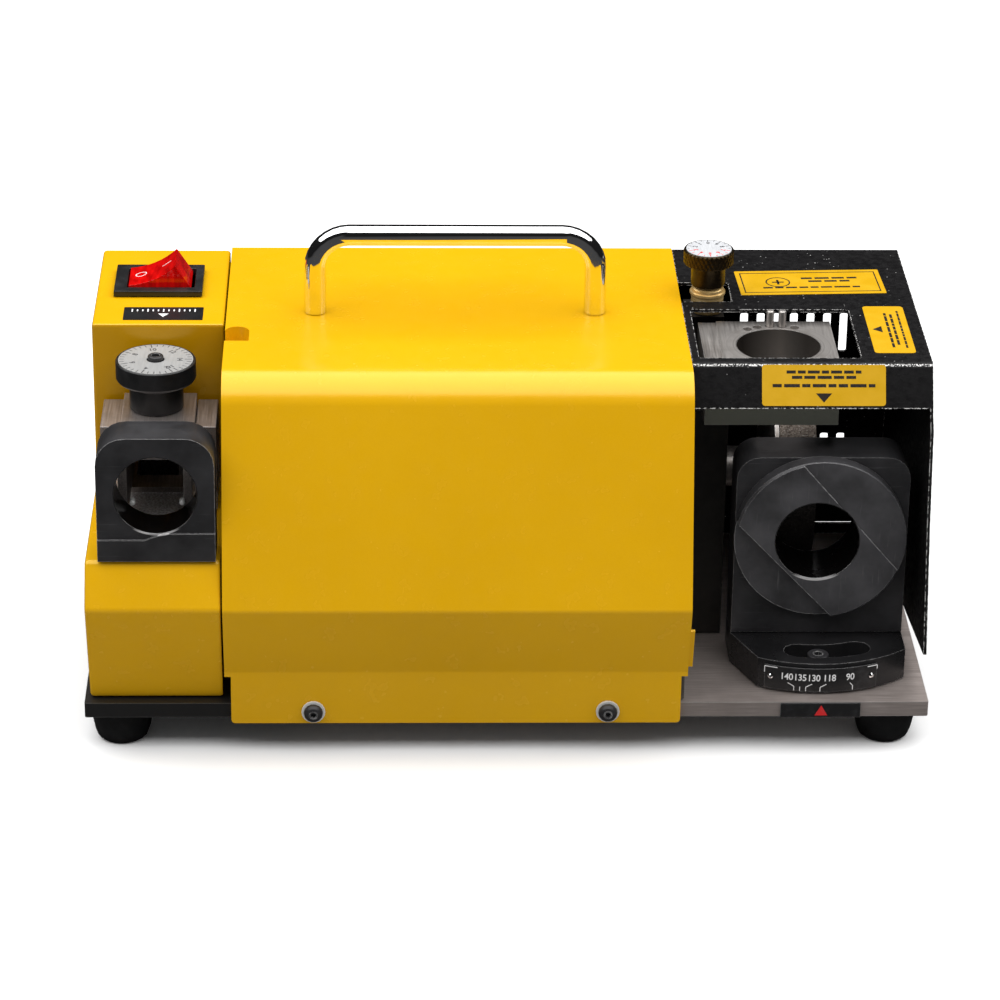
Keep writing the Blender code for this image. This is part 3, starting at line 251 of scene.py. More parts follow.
def satin_black():
    """Thin black plate paint, slightly dusty."""
    paint = Paint("satin_black_plate", 0.42, 0.0, 0.5)
    mottle = paint.ramp(paint.noise(240.0, 4.0, 0.7), 0.5, 0.8)
    base = paint.blend(mottle, (0.011, 0.011, 0.012), (0.035, 0.035, 0.037))
    paint.set("Base Color", paint.blend(paint.worn_edge(0.3 * MM), base, (0.30, 0.30, 0.30)))
    paint.set("Roughness", paint.ramp(paint.noise(300.0), 0.3, 0.7, 0.34, 0.5))
    paint.bump(paint.noise(900.0, 2.0), 0.15, 0.05 * MM)
    return paint.material


def ground_plate():
    """Surface-ground steel base, blackened at the end that carries the left casing."""
    paint = Paint("ground_base_plate", 0.4, 0.75, 0.5)
    lines = paint.noise(1.0, 4.0, 0.6, paint.stretched(60.0, 1900.0, 1900.0))
    blotch = paint.noise(45.0, 4.0, 0.6)
    steel = paint.blend(paint.ramp(lines, 0.3, 0.7), (0.44, 0.375, 0.345), (0.68, 0.60, 0.565))
    steel = paint.blend(paint.ramp(blotch, 0.35, 0.7, 0.0, 0.45), steel, (0.30, 0.25, 0.23))
    edge = paint.worn_edge(0.5 * MM)
    steel = paint.blend(paint.product(edge, 0.8), steel, (0.72, 0.71, 0.69))
    black_end = paint.ramp(paint.axis("X"), COVER_LOW.x + 30 * MM, COVER_LOW.x + 28 * MM)
    black = paint.blend(paint.product(edge, 0.35), (0.014, 0.0135, 0.0135), (0.25, 0.25, 0.24))
    paint.set("Base Color", paint.blend(black_end, steel, black))
    paint.set("Roughness", paint.ramp(lines, 0.3, 0.7, 0.34, 0.50))
    paint.set("Metallic", paint.ramp(black_end, 0.0, 1.0, 0.72, 0.1))
    paint.bump(lines, 0.25, 0.04 * MM)
    return paint.material


def machined_steel(name, along, centre=None, warm=1.0, floor=None):
    """Bare steel with the cutter's lines along an axis.

    A centre adds turned rings, darkens the front face as painted shade, and gives a bore a wall of painted
    shade with a painted highlight streak. Under a floor's height the surface turns lighter, speckled and not
    metallic."""
    paint = Paint(name, 0.38, 0.8, 0.5)
    lines = paint.tool_lines(along, 1500.0, 40.0, 0.6)
    if centre is not None:
        shifted = paint.node("Mapping", {"Vector": paint.place, "Location": (-centre.x, -centre.y, 0.0)})
        reach = paint.length(paint.vector("MULTIPLY", shifted.outputs["Vector"], (1.0, 1.0, 0.0)))
        radial = paint.node("CombineXYZ", {"X": reach}).outputs["Vector"]
        rings = paint.noise(1700.0, 2.0, 0.6, radial)
        near = paint.ramp(reach, 24 * MM, 19 * MM)
        lines = paint.blend(near, lines, rings)
    tone = paint.blend(paint.ramp(lines, 0.3, 0.72), (0.36, 0.335 * warm, 0.315 * warm),
                       (0.58, 0.55 * warm, 0.525 * warm))
    stain = paint.ramp(paint.noise(70.0, 4.0, 0.6), 0.52, 0.75, 0.0, 0.5)
    tone = paint.blend(stain, tone, (0.21, 0.175, 0.15))
    if centre is not None:
        # painted shade: the block's front face is darker than its milled top
        normal = paint.node("NewGeometry").outputs["Normal"]
        facing = paint.node("SeparateXYZ", {"Vector": normal}).outputs["Z"]
        front = paint.ramp(paint.axis("Y"), RELIEF_FRONT + 1.0 * MM, RELIEF_FRONT + 0.5 * MM)
        upright = paint.product(paint.ramp(facing, 0.7, 0.4), front)
        tone = paint.blend(upright, tone, (0.36, 0.37, 0.31))
        # a painted highlight streak on the bore's wall, right of centre and fading upwards, over painted dark
        # shade
        rising = paint.ramp(paint.axis("X"), centre.x - 13 * MM, centre.x + 2 * MM)
        falling = paint.ramp(paint.axis("X"), centre.x + 12 * MM, centre.x + 3 * MM, 0.35, 1.0)
        sheen = paint.product(rising, falling)
        sheen = paint.product(sheen, paint.ramp(paint.axis("Z"), 118 * MM, 141 * MM, 1.0, 0.45))
        wall = paint.blend(sheen, (0.048, 0.040, 0.035), (0.60, 0.54, 0.49))
        tone = paint.blend(paint.ramp(reach, 16.4 * MM, 16.15 * MM), tone, wall)
    if floor is not None:
        # below the floor's height the surface is lighter, speckled and not metallic
        low = paint.ramp(paint.axis("Z"), floor + 0.2 * MM, floor)
        mottle = paint.ramp(paint.noise(1100.0, 2.0), 0.40, 0.62)
        tone = paint.blend(low, tone, paint.blend(mottle, (0.60, 0.57, 0.55), (0.97, 0.94, 0.92)))
        paint.set("Metallic", paint.ramp(low, 0.0, 1.0, 0.8, 0.0))
    paint.set("Base Color", paint.blend(paint.worn_edge(0.35 * MM), tone, (0.80, 0.79, 0.77)))
    paint.set("Roughness", paint.ramp(lines, 0.3, 0.7, 0.32, 0.46))
    paint.bump(lines, 0.2, 0.03 * MM)
    return paint.material


def inside_bore(paint, centre, radius):
    """1 on the wall of a bore that runs front to back, 0 on the faces round it."""
    shifted = paint.vector("SUBTRACT", paint.place, centre)
    reach = paint.length(paint.vector("MULTIPLY", shifted, (1.0, 0.0, 1.0)))
    return paint.ramp(reach, radius + 0.35 * MM, radius + 0.15 * MM)


def painted_lip_highlight(paint, centre, radius):
    """1 on the bottom of a bore's front rim, where a painted highlight goes."""
    ring = inside_bore(paint, centre, radius + 0.4 * MM)
    front = paint.ramp(paint.axis("Y"), centre.y + 1.2 * MM, centre.y + 0.9 * MM)
    low = paint.ramp(paint.axis("Z"), centre.z - 0.86 * radius, centre.z - 0.95 * radius)
    return paint.product(paint.product(ring, front), low)


def black_oxide(name, gloss=0.40, tone=1.0, along="X", bore=None):
    """Machined steel blackened chemically: grey sheen, faint tool lines, bright worn edges.

    A bore has its wall painted near-black as painted shade; its rim's bright edge is taken away at the top
    and a painted highlight is put at the bottom."""
    paint = Paint(name, gloss, 0.35, 0.5)
    lines = paint.tool_lines(along, 1300.0, 60.0, 0.65)
    cloud = paint.noise(55.0, 4.0, 0.6)
    dark = (0.024 * tone, 0.0235 * tone, 0.0250 * tone)
    light = (0.052 * tone, 0.0510 * tone, 0.0545 * tone)
    base = paint.blend(paint.ramp(cloud, 0.3, 0.7), dark, light)
    scratch = (0.12 * tone, 0.12 * tone, 0.125 * tone)
    base = paint.blend(paint.ramp(lines, 0.62, 0.78, 0.0, 0.5), base, scratch)
    chips = paint.ramp(paint.noise(650.0, 2.0), 0.30, 0.55, 0.25, 1.0)
    edge = paint.product(paint.worn_edge(0.45 * MM, 0.03, 0.2), chips)
    rough = paint.ramp(cloud, 0.3, 0.7, gloss - 0.07, gloss + 0.08)
    if bore is not None:
        centre, radius = bore
        rim = inside_bore(paint, centre, radius + 1.0 * MM)
        # the rim's bright edge is taken away at the top; a painted highlight goes on its bottom
        raised = paint.ramp(paint.axis("Z"), centre.z - 10 * MM, centre.z - 5 * MM, 0.0, 0.85)
        edge = paint.product(edge, paint.maths("SUBTRACT", 1.0, paint.product(rim, raised)))
        edge = paint.maths("MAXIMUM", edge, painted_lip_highlight(paint, centre, radius))
        # painted shade: the bore's wall is painted near-black
        wall = inside_bore(paint, centre, radius)
        base = paint.blend(wall, base, (0.004, 0.0035, 0.0035))
        rough = paint.maths("SUBTRACT", rough, paint.product(wall, 0.2))
    paint.set("Base Color", paint.blend(edge, base, (0.62, 0.61, 0.61)))
    paint.set("Roughness", rough)
    fine = paint.bump(lines, 0.15, 0.03 * MM)
    paint.bump(paint.noise(1400.0, 2.0), 0.12, 0.03 * MM, fine)
    return paint.material


def chrome():
    """Polished plate with faint smears."""
    paint = Paint("chrome_plate", 0.05, 1.0, 0.5)
    smear = paint.ramp(paint.noise(90.0, 4.0, 0.6), 0.45, 0.8)
    paint.set("Base Color", paint.blend(smear, (0.88, 0.88, 0.89), (0.78, 0.78, 0.79)))
    paint.set("Roughness", paint.ramp(smear, 0.0, 1.0, 0.03, 0.10))
    return paint.material


def rubber():
    """Matt moulded rubber, a little dusty."""
    paint = Paint("moulded_rubber", 0.55, 0.0, 0.4)
    mottle = paint.ramp(paint.noise(130.0, 5.0, 0.7), 0.45, 0.8)
    paint.set("Base Color", paint.blend(mottle, (0.008, 0.008, 0.0085), (0.020, 0.020, 0.020)))
    paint.set("Roughness", paint.ramp(mottle, 0.0, 1.0, 0.45, 0.68))
    paint.bump(paint.noise(1100.0, 2.0), 0.2, 0.05 * MM)
    return paint.material


def moulded_black():
    """Black plastic with a fine spark-eroded texture."""
    paint = Paint("moulded_black", 0.42, 0.0, 0.5)
    haze = paint.ramp(paint.noise(110.0, 4.0, 0.6), 0.4, 0.75)
    paint.set("Base Color", paint.blend(haze, (0.007, 0.007, 0.0075), (0.016, 0.016, 0.017)))
    paint.set("Roughness", paint.ramp(haze, 0.0, 1.0, 0.36, 0.50))
    paint.bump(paint.noise(1600.0, 2.0), 0.25, 0.04 * MM)
    return paint.material


def red_lens():
    """Clear red rocker: a bright skin over ribbed red depth, with a faint painted glow."""
    paint = Paint("red_lens", 0.10, 0.0, 0.6)
    ribs = paint.noise(1.0, 2.0, 0.5, paint.stretched(420.0, 120.0, 60.0))
    deep = paint.noise(130.0, 3.0)
    colour = paint.blend(paint.ramp(ribs, 0.35, 0.7), (0.34, 0.0007, 0.0007), (0.66, 0.0032, 0.0028))
    paint.set("Base Color", paint.blend(paint.ramp(deep, 0.5, 0.8, 0.0, 0.6), colour, (0.20, 0.0006, 0.0006)))
    paint.set("Specular Tint", (1.0, 0.35, 0.3, 1.0))
    paint.set("Coat Weight", 0.12)
    paint.set("Coat Roughness", 0.05)
    # a faint painted glow: the emission brightens the red as if lit from within
    paint.set("Emission Color", (0.9, 0.006, 0.004, 1.0))
    paint.set("Emission Strength", 0.04)
    return paint.material


def knurled_bronze():
    """Dark bronze, lighter where the knurl is handled."""
    paint = Paint("dark_bronze", 0.34, 0.95, 0.5)
    tarnish = paint.ramp(paint.noise(160.0, 4.0, 0.65), 0.35, 0.7)
    base = paint.blend(tarnish, (0.058, 0.041, 0.020), (0.022, 0.016, 0.010))
    paint.set("Base Color", paint.blend(paint.worn_edge(0.25 * MM), base, (0.16, 0.115, 0.055)))
    paint.set("Roughness", paint.ramp(tarnish, 0.0, 1.0, 0.30, 0.48))
    paint.bump(paint.noise(900.0, 2.0), 0.15, 0.04 * MM)
    return paint.material


def brass():
    """Turned brass with a brown stain in places."""
    paint = Paint("machined_brass", 0.26, 0.55, 0.8)
    lines = paint.noise(1.0, 3.0, 0.6, paint.stretched(90.0, 90.0, 1800.0))
    stain = paint.ramp(paint.noise(200.0, 3.0), 0.45, 0.75)
    bright = paint.blend(paint.ramp(lines, 0.3, 0.7), (0.72, 0.47, 0.17), (0.92, 0.68, 0.32))
    paint.set("Base Color", paint.blend(paint.product(stain, 0.5), bright, (0.36, 0.23, 0.09)))
    paint.set("Roughness", paint.ramp(lines, 0.3, 0.7, 0.20, 0.36))
    paint.bump(lines, 0.2, 0.03 * MM)
    return paint.material


def dial_face(name, colour):
    """Satin dial blank with fine turned lines."""
    paint = Paint(name, 0.36, 0.15, 0.5)
    grain = paint.noise(1.0, 2.0, 0.6, paint.stretched(1600.0, 120.0, 1600.0))
    pale = tuple(channel * 0.88 for channel in colour)
    paint.set("Base Color", paint.blend(paint.ramp(grain, 0.3, 0.7), pale, colour))
    paint.set("Roughness", paint.ramp(grain, 0.3, 0.7, 0.31, 0.43))
    paint.bump(grain, 0.1, 0.02 * MM)
    return paint.material


def bonded_grit():
    """Grinding wheel: pale and dark grains in a brown bond, with painted shade darkening it lower down."""
    paint = Paint("bonded_grit", 0.85, 0.0, 0.4)
    grain_scale = 1500.0
    tone = paint.node("SeparateColor", {"Color": paint.cells(grain_scale, "Color")}).outputs["Green"]
    base = paint.blend(tone, (0.14, 0.105, 0.082), (0.46, 0.39, 0.33))
    bright = paint.ramp(paint.noise(1300.0, 2.0), 0.60, 0.70)
    speckled = paint.blend(bright, base, (0.75, 0.70, 0.64))
    # painted shade: near-black towards the bottom of the wheel
    painted_lower_shade = paint.ramp(paint.axis("Z"), 106 * MM, 98 * MM, 0.0, 0.93)
    paint.set("Base Color", paint.blend(painted_lower_shade, speckled, (0.006, 0.005, 0.005)))
    paint.set("Roughness", paint.ramp(tone, 0.0, 1.0, 0.7, 0.95))
    paint.bump(paint.cells(grain_scale), 0.8, 0.25 * MM)
    return paint.material


def cast_metal(name, dark, light, roughness):
    """Sand-cast metal under thin paint."""
    paint = Paint(name, roughness, 0.3, 0.45)
    tone = paint.ramp(paint.noise(85.0, 5.0, 0.65), 0.3, 0.7)
    base = paint.blend(tone, dark, light)
    bright = tuple(min(1.0, channel * 3.0) for channel in light)
    paint.set("Base Color", paint.blend(paint.worn_edge(0.4 * MM), base, bright))
    paint.set("Roughness", paint.ramp(tone, 0.0, 1.0, roughness - 0.08, roughness + 0.1))
    paint.bump(paint.noise(620.0, 4.0, 0.6), 0.4, 0.15 * MM)
    return paint.material


def vinyl(name, colour):
    """Printed label film with a faint unevenness."""
    paint = Paint(name, 0.32, 0.0, 0.5)
    tone = paint.ramp(paint.noise(120.0, 3.0), 0.3, 0.7)
    dull = tuple(channel * 0.90 for channel in colour)
    paint.set("Base Color", paint.blend(tone, dull, colour))
    paint.set("Roughness", paint.ramp(tone, 0.0, 1.0, 0.28, 0.40))
    paint.bump(paint.noise(260.0, 2.0), 0.06, 0.05 * MM)
    return paint.material


def ink(name, colour):
    """Screen-printed ink, a little broken up."""
    paint = Paint(name, 0.45, 0.0, 0.4)
    worn = paint.ramp(paint.noise(900.0, 2.0), 0.55, 0.75, 0.0, 0.35)
    faded = tuple(channel * 0.6 + 0.04 for channel in colour)
    paint.set("Base Color", paint.blend(worn, colour, faded))
    paint.set("Roughness", paint.ramp(worn, 0.0, 0.35, 0.4, 0.55))
    return paint.material


WEB_BORE = (at(WEB_PORT_X, WEB_PORT_Y, WEB_PORT_Z), WEB_PORT_RADIUS * MM)
HEAD_BORE = (at(HEAD_BORE_X, HEAD_BORE_Y, HEAD_BORE_Z), HEAD_BORE_RADIUS * MM)
OXIDE = black_oxide("black_oxide_steel")
OXIDE_PORT = black_oxide("black_oxide_port", 0.38, 0.9, "X", WEB_BORE)
OXIDE_HEAD = black_oxide("black_oxide_head", 0.36, 1.2)
OXIDE_DISH = black_oxide("black_oxide_dish", 0.42, 1.9, "Z", HEAD_BORE)
OXIDE_BASE = black_oxide("black_oxide_base", 0.28, 0.45)
CHROME = chrome()
STEEL_BAR = machined_steel("ground_bar_steel", "Y", None, 0.95)
STEEL_ROUND = machined_steel("turned_steel", "Z")
STEEL_GUIDE = machined_steel("guide_block_steel", "Y", None, 0.95, GUIDE_FLOOR_Z * MM)
STEEL_BLOCK = machined_steel("milled_block_steel", "Y", at(RELIEF_X, RELIEF_Y, 0))
CAST_DARK = cast_metal("dark_casting", (0.012, 0.011, 0.010), (0.028, 0.025, 0.022), 0.5)
CAST_GREY = cast_metal("grey_casting", (0.17, 0.175, 0.18), (0.30, 0.305, 0.31), 0.5)
ZINC = cast_metal("bright_zinc", (0.74, 0.74, 0.72), (0.90, 0.90, 0.88), 0.35)
DULL_PARTITION = cast_metal("dull_partition", (0.085, 0.080, 0.070), (0.14, 0.132, 0.118), 0.55)
DIAL_SILVER = dial_face("dial_silver", (0.36, 0.36, 0.355))
DIAL_WHITE = dial_face("dial_white", (0.60, 0.61, 0.63))


def both(name):
    return name + "_left", name + "_right"


FINISH = {
    "yellow": (yellow_powder_coat(), ("main_cover", "left_casing")),
    "wrinkle": (wrinkle_black(), ("guard",)),
    "black_plate": (satin_black(), ("index_plate", "scale_plate")),
    "partition": (DULL_PARTITION, ("partition_plate",)),
    "plate": (ground_plate(), ("base_plate",)),
    "relief_steel": (STEEL_BLOCK, ("relief_port_block",)),
    "bar_steel": (STEEL_BAR, ("web_slide_bar",)),
    "guide_steel": (STEEL_GUIDE, ("web_guide_block",)),
    "round_steel": (STEEL_ROUND, (*both("relief_pin"), "spindle_shaft", "point_wheel_backing",
                                  "web_wheel_backing")),
    "port": (OXIDE_PORT, ("web_port_block",)),
    "head": (OXIDE_HEAD, ("head_block",)),
    "dish": (OXIDE_DISH, ("head_port",)),
    "base": (OXIDE_BASE, ("head_base",)),
    "oxide": (OXIDE, ("web_knob_screw", *both("cover_screw"), "swivel_lock_screw")),
    "zinc": (ZINC, both("cover_washer")),
    "chrome": (CHROME, ("handle", *both("handle_screw"), *both("bearing"), "point_wheel_nut", "web_wheel_nut",
                        "pivot_pin", *both("scale_rivet"))),
    "rubber": (rubber(), (*both("foot_front"), *both("foot_rear"))),
    "plastic": (moulded_black(), ("switch_bezel", "web_knob", "power_inlet", "fuse_cap", "cooling_fan")),
    "lens": (red_lens(), ("switch_rocker",)),
    "brass": (brass(), ("relief_nut",)),
    "bronze": (knurled_bronze(), ("relief_knob",)),
    "dial": (DIAL_SILVER, ("web_dial_disc",)),
    "white_dial": (DIAL_WHITE, ("relief_dial_disc",)),
    "grit": (bonded_grit(), ("point_wheel", "web_wheel")),
    "grey": (CAST_GREY, ("motor_housing", *both("end_bell"))),
    "cast": (CAST_DARK, ("stator_core", "rotor_core", "motor_cradle", "grinding_bracket")),
    "can": (vinyl("white_can", (0.72, 0.72, 0.69)), ("capacitor",)),
}

# edge rounding in millimetres: the default, and the pieces that differ
EDGE = 0.30
OTHER_EDGES = {
    0.0: ("handle", *both("scale_rivet")),
    0.06: ("web_dial_disc", "relief_dial_disc"),
    0.08: ("index_plate",),
    0.1: ("scale_plate", *both("cover_washer"), *both("relief_pin")),
    0.15: (*both("cover_screw"), "web_knob_screw", "relief_knob", "web_wheel_backing", "point_wheel_backing"),
    0.2: ("swivel_lock_screw",),
    0.25: ("relief_port_block",),
    0.35: ("head_port", "web_guide_block"),
    0.45: ("base_plate",),
    0.5: ("head_block", "web_port_block", "switch_bezel"),
    0.6: ("head_base",),
}
EDGES = {name: width for width, names in OTHER_EDGES.items() for name in names}


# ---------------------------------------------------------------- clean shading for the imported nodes

def node_group(name):
    group = bpy.data.node_groups.new(name, "GeometryNodeTree")
    for way in ("INPUT", "OUTPUT"):
        group.interface.new_socket("Geometry", in_out=way, socket_type="NodeSocketGeometry")
    return group, group.nodes.new("NodeGroupInput"), group.nodes.new("NodeGroupOutput")


def weld_group():
    """Joins loose facets and drops their flat normals."""
    group, start, end = node_group("weld_facets")
    weld = group.nodes.new("GeometryNodeMergeByDistance")
    weld.inputs["Distance"].default_value = 0.004 * MM
    drop = group.nodes.new("GeometryNodeRemoveAttribute")
    drop.inputs["Name"].default_value = "custom_normal"
    smooth = group.nodes.new("GeometryNodeSetShadeSmooth")
    group.links.new(start.outputs[0], weld.inputs["Geometry"])
    group.links.new(weld.outputs[0], drop.inputs["Geometry"])
    group.links.new(drop.outputs[0], smooth.inputs["Geometry"])
    group.links.new(smooth.outputs[0], end.inputs[0])
    return group


def crease_group(degrees):
    """Marks the edges that turn by more than an angle as sharp."""
    group, start, end = node_group("crease_sharp_edges")
    angle = group.nodes.new("GeometryNodeInputMeshEdgeAngle")
    compare = group.nodes.new("FunctionNodeCompare")
    compare.data_type = "FLOAT"
    compare.operation = "GREATER_THAN"
    compare.inputs["B"].default_value = math.radians(degrees)
    sharpen = group.nodes.new("GeometryNodeSetShadeSmooth")
    sharpen.domain = "EDGE"
    sharpen.inputs["Shade Smooth"].default_value = False
    group.links.new(angle.outputs["Unsigned Angle"], compare.inputs["A"])
    group.links.new(compare.outputs["Result"], sharpen.inputs["Selection"])
    group.links.new(start.outputs[0], sharpen.inputs["Geometry"])
    group.links.new(sharpen.outputs[0], end.inputs[0])
    return group


WELD = weld_group()
CREASE = crease_group(38.0)


def soften(obj, width):
    """Weld, merge flat facets, round the edges a little and shade by face area."""
    weld = obj.modifiers.new("weld", "NODES")
    weld.node_group = WELD
    flat = obj.modifiers.new("merge_flat", "DECIMATE")
    flat.decimate_type = "DISSOLVE"
    flat.angle_limit = math.radians(0.6)
    if width > 0:
        bevel = obj.modifiers.new("edge_round", "BEVEL")
        bevel.width = width * MM
        bevel.segments = 2
        bevel.limit_method = "ANGLE"
        bevel.angle_limit = math.radians(32)
        bevel.miter_outer = "MITER_ARC"
    crease = obj.modifiers.new("crease", "NODES")
    crease.node_group = CREASE
    normals = obj.modifiers.new("even_shading", "WEIGHTED_NORMAL")
    normals.keep_sharp = True
    normals.weight = 60


def finish_nodes():
    for material, names in FINISH.values():
        for name in names:
            node = NODES[name]
            node.data.materials.clear()
            node.data.materials.append(material)
            soften(node, EDGES.get(name, EDGE))


# ---------------------------------------------------------------- small pieces and markings

def placed(name, data):
    obj = bpy.data.objects.new(name, data)
    bpy.context.scene.collection.objects.link(obj)
    return obj


def mesh_from(name, shape):
    bmesh.ops.recalc_face_normals(shape, faces=shape.faces)
    mesh = bpy.data.meshes.new(name)
    shape.to_mesh(mesh)
    shape.free()
    return mesh


def attach(name, mesh, material, body):
    obj = placed(name, mesh)
    mesh.materials.clear()
    mesh.materials.append(material)
    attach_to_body(obj, body)
    return obj


class Sheet:
    """A flat place on the object: millimetres across and up, and a lift off it in metres."""

    def __init__(self, origin, across, up):
        self.origin = Vector(origin)
        self.across = Vector(across).normalized()
        self.normal = self.across.cross(Vector(up)).normalized()
        self.up = self.normal.cross(self.across)

    def __call__(self, u, v, lift=0.0):
        return self.origin + self.across * u * MM + self.up * v * MM + self.normal * lift


class Drum:
    """A place on an upright round wall, read from outside: u runs left to right, in millimetres."""

    def __init__(self, centre, radius, facing):
        self.centre, self.radius, self.facing = centre, radius, facing

    def __call__(self, u, v, lift=0.0):
        turn = math.radians(self.facing) + u * MM / self.radius
        reach = self.radius + lift
        return self.centre + Vector((reach * math.cos(turn), reach * math.sin(turn), v * MM))


def printed(name, outlines, place, low, high, material, body):
    """Flat shapes given thickness on a place, all in one piece."""
    shape = bmesh.new()
    for outline in outlines:
        bottom = [shape.verts.new(place(u, v, low)) for u, v in outline]
        top = [shape.verts.new(place(u, v, high)) for u, v in outline]
        shape.faces.new(top)
        shape.faces.new(bottom[::-1])
        count = len(outline)
        for i in range(count):
            j = (i + 1) % count
            shape.faces.new((bottom[i], bottom[j], top[j], top[i]))
    attach(name, mesh_from(name, shape), material, body)


def bar(u, v, length, width, degrees=0.0):
    """A straight stroke about its middle."""
    turn = math.radians(degrees)
    c, s = math.cos(turn), math.sin(turn)
    corners = ((-length, -width), (length, -width), (length, width), (-length, width))
    return [(u + (a * c - b * s) / 2, v + (a * s + b * c) / 2) for a, b in corners]


def stroke(start, end, width):
    """A straight stroke between two points."""
    (a, b), (c, d) = start, end
    degrees = math.degrees(math.atan2(d - b, c - a))
    return bar((a + c) / 2, (b + d) / 2, math.hypot(c - a, d - b), width, degrees)


def spoke(turn, inner, outer, width):
    """A stroke on a dial, from one radius to another."""
    c, s = math.cos(turn), math.sin(turn)
    return stroke((inner * c, inner * s), (outer * c, outer * s), width)


def rounded(width, height, radius):
    """A rectangle about (0, 0) with round corners."""
    steps = 5
    points = []
    for quarter, (sx, sy) in enumerate(((1, 1), (-1, 1), (-1, -1), (1, -1))):
        for step in range(steps + 1):
            turn = math.radians(90 * quarter + 90 * step / steps)
            points.append((sx * (width / 2 - radius) + radius * math.cos(turn),
                           sy * (height / 2 - radius) + radius * math.sin(turn)))
    return points


def frame_lines(width, height, line):
    """A thin rectangle about (0, 0) drawn as four strokes."""
    return [bar(0, height / 2, width, line), bar(0, -height / 2, width, line),
            bar(-width / 2, 0, height + line, line, 90), bar(width / 2, 0, height + line, line, 90)]


def ring_strokes(u, v, radius, width, count, squash=1.0):
    """A thin circle drawn as short strokes."""
    turns = [math.tau * i / count for i in range(count)]
    points = [(u + radius * math.cos(turn), v + squash * radius * math.sin(turn)) for turn in turns]
    return [stroke(points[i], points[(i + 1) % count], width) for i in range(count)]


def numeral(name, text, size, place, u, v, degrees, material, body, lift, squeeze=1.0):
    """Digits set about a point of a place, turned by an angle; squeeze narrows them."""
    curve = bpy.data.curves.new(name, "FONT")
    curve.body = text
    curve.size = size
    curve.align_x = "CENTER"
    curve.align_y = "CENTER"
    curve.resolution_u = 3
    curve.space_character = 0.95
    curve.offset = 0.012 * size
    half_depth = 0.02
    curve.extrude = half_depth
    flat = placed(name + "_flat", curve)
    bpy.context.view_layer.update()
    mesh = bpy.data.meshes.new_from_object(flat.evaluated_get(bpy.context.evaluated_depsgraph_get()))
    bpy.data.objects.remove(flat)
    bpy.data.curves.remove(curve)
    mesh.name = name
    turn = math.radians(degrees)
    c, s = math.cos(turn), math.sin(turn)
    for vertex in mesh.vertices:
        a, b, depth = vertex.co
        a *= squeeze
        vertex.co = place(u + a * c - b * s, v + a * s + b * c, lift + (depth + half_depth) * MM)
    attach(name, mesh, material, body)


def loop_about(shape, centre, axis, height, count, reach_at):
    """A closed loop round an axis; its distance from the axis may change with the turn."""
    side = axis.orthogonal().normalized()
    other = axis.cross(side)
    loop = []
    for i in range(count):
        turn = math.tau * i / count
        out = (side * math.cos(turn) + other * math.sin(turn)) * reach_at(turn) * MM
        loop.append(shape.verts.new(centre + axis * height * MM + out))
    return loop


def lathe(name, profile, centre, axis, material, body, facets, ripple=None):
    """A turned piece: (radius, height) in millimetres about an axis; ripple shifts each radius."""
    shape = bmesh.new()
    loops = []
    for radius, height in profile:
        if radius == 0:
            loops.append([shape.verts.new(centre + axis * height * MM)])
            continue

        def reach_at(turn):
            return radius + (ripple(turn, radius, height) if ripple else 0.0)

        loops.append(loop_about(shape, centre, axis, height, facets, reach_at))
    for first, second in zip(loops, loops[1:]):
        for i in range(facets):
            j = (i + 1) % facets
            corners = [first[i % len(first)], first[j % len(first)],
                       second[j % len(second)], second[i % len(second)]]
            unique = list(dict.fromkeys(corners))
            if len(unique) > 2:
                shape.faces.new(unique)
    mesh = mesh_from(name, shape)
    mesh.shade_smooth()
    mesh.set_sharp_from_angle(angle=math.radians(35))
    return attach(name, mesh, material, body)


def hex_socket(name, centre, axis, outer, across_flats, deep, body):
    """The collar round a hexagonal key hole: round outside and six-sided inside."""
    count = 24
    sixth = math.pi / 3

    def round_wall(turn):
        return outer

    def hex_wall(turn):
        local = (turn + sixth / 2) % sixth - sixth / 2
        return across_flats / 2 / math.cos(local)

    shape = bmesh.new()
    walls = ((round_wall, -deep), (round_wall, 0.0), (hex_wall, 0.0), (hex_wall, -deep))
    loops = [loop_about(shape, centre, axis, height, count, wall) for wall, height in walls]
    for first, second in zip(loops, loops[1:] + loops[:1]):
        for i in range(count):
            j = (i + 1) % count
            shape.faces.new((first[i], first[j], second[j], second[i]))
    attach(name, mesh_from(name, shape), OXIDE, body)


LABEL_YELLOW = vinyl("label_yellow", (0.60, 0.335, 0.003))
LABEL_BLACK = vinyl("label_black", (0.010, 0.010, 0.011))
INK_BLACK = ink("ink_black", (0.016, 0.012, 0.010))
INK_WHITE = ink("ink_white", (0.80, 0.80, 0.80))
INK_GREY = ink("ink_grey", (0.06, 0.06, 0.065))
INK_RED = ink("ink_red", (0.62, 0.012, 0.014))


def text_line(u, v, length, height, seed):
    """A printed line without its letters: bars as long as words, with word spaces between."""
    draw = random.Random(seed)
    outlines = []
    start = u - length / 2
    while start < u + length / 2 - height:
        end = min(start + draw.uniform(2.2, 5.0) * height, u + length / 2)
        outlines.append(bar((start + end) / 2, v, end - start, height))
        start = end + 0.75 * height
    return outlines


def add_label(name, place, width, height, radius, marks, film=LABEL_YELLOW, print_ink=INK_BLACK):
    """A sticker and the marks printed on it."""
    printed(name, [rounded(width, height, radius)], place, 0.02 * MM, VINYL, film, "frame")
    printed(name + "_marks", marks, place, VINYL, VINYL + SKIN, print_ink, "frame")


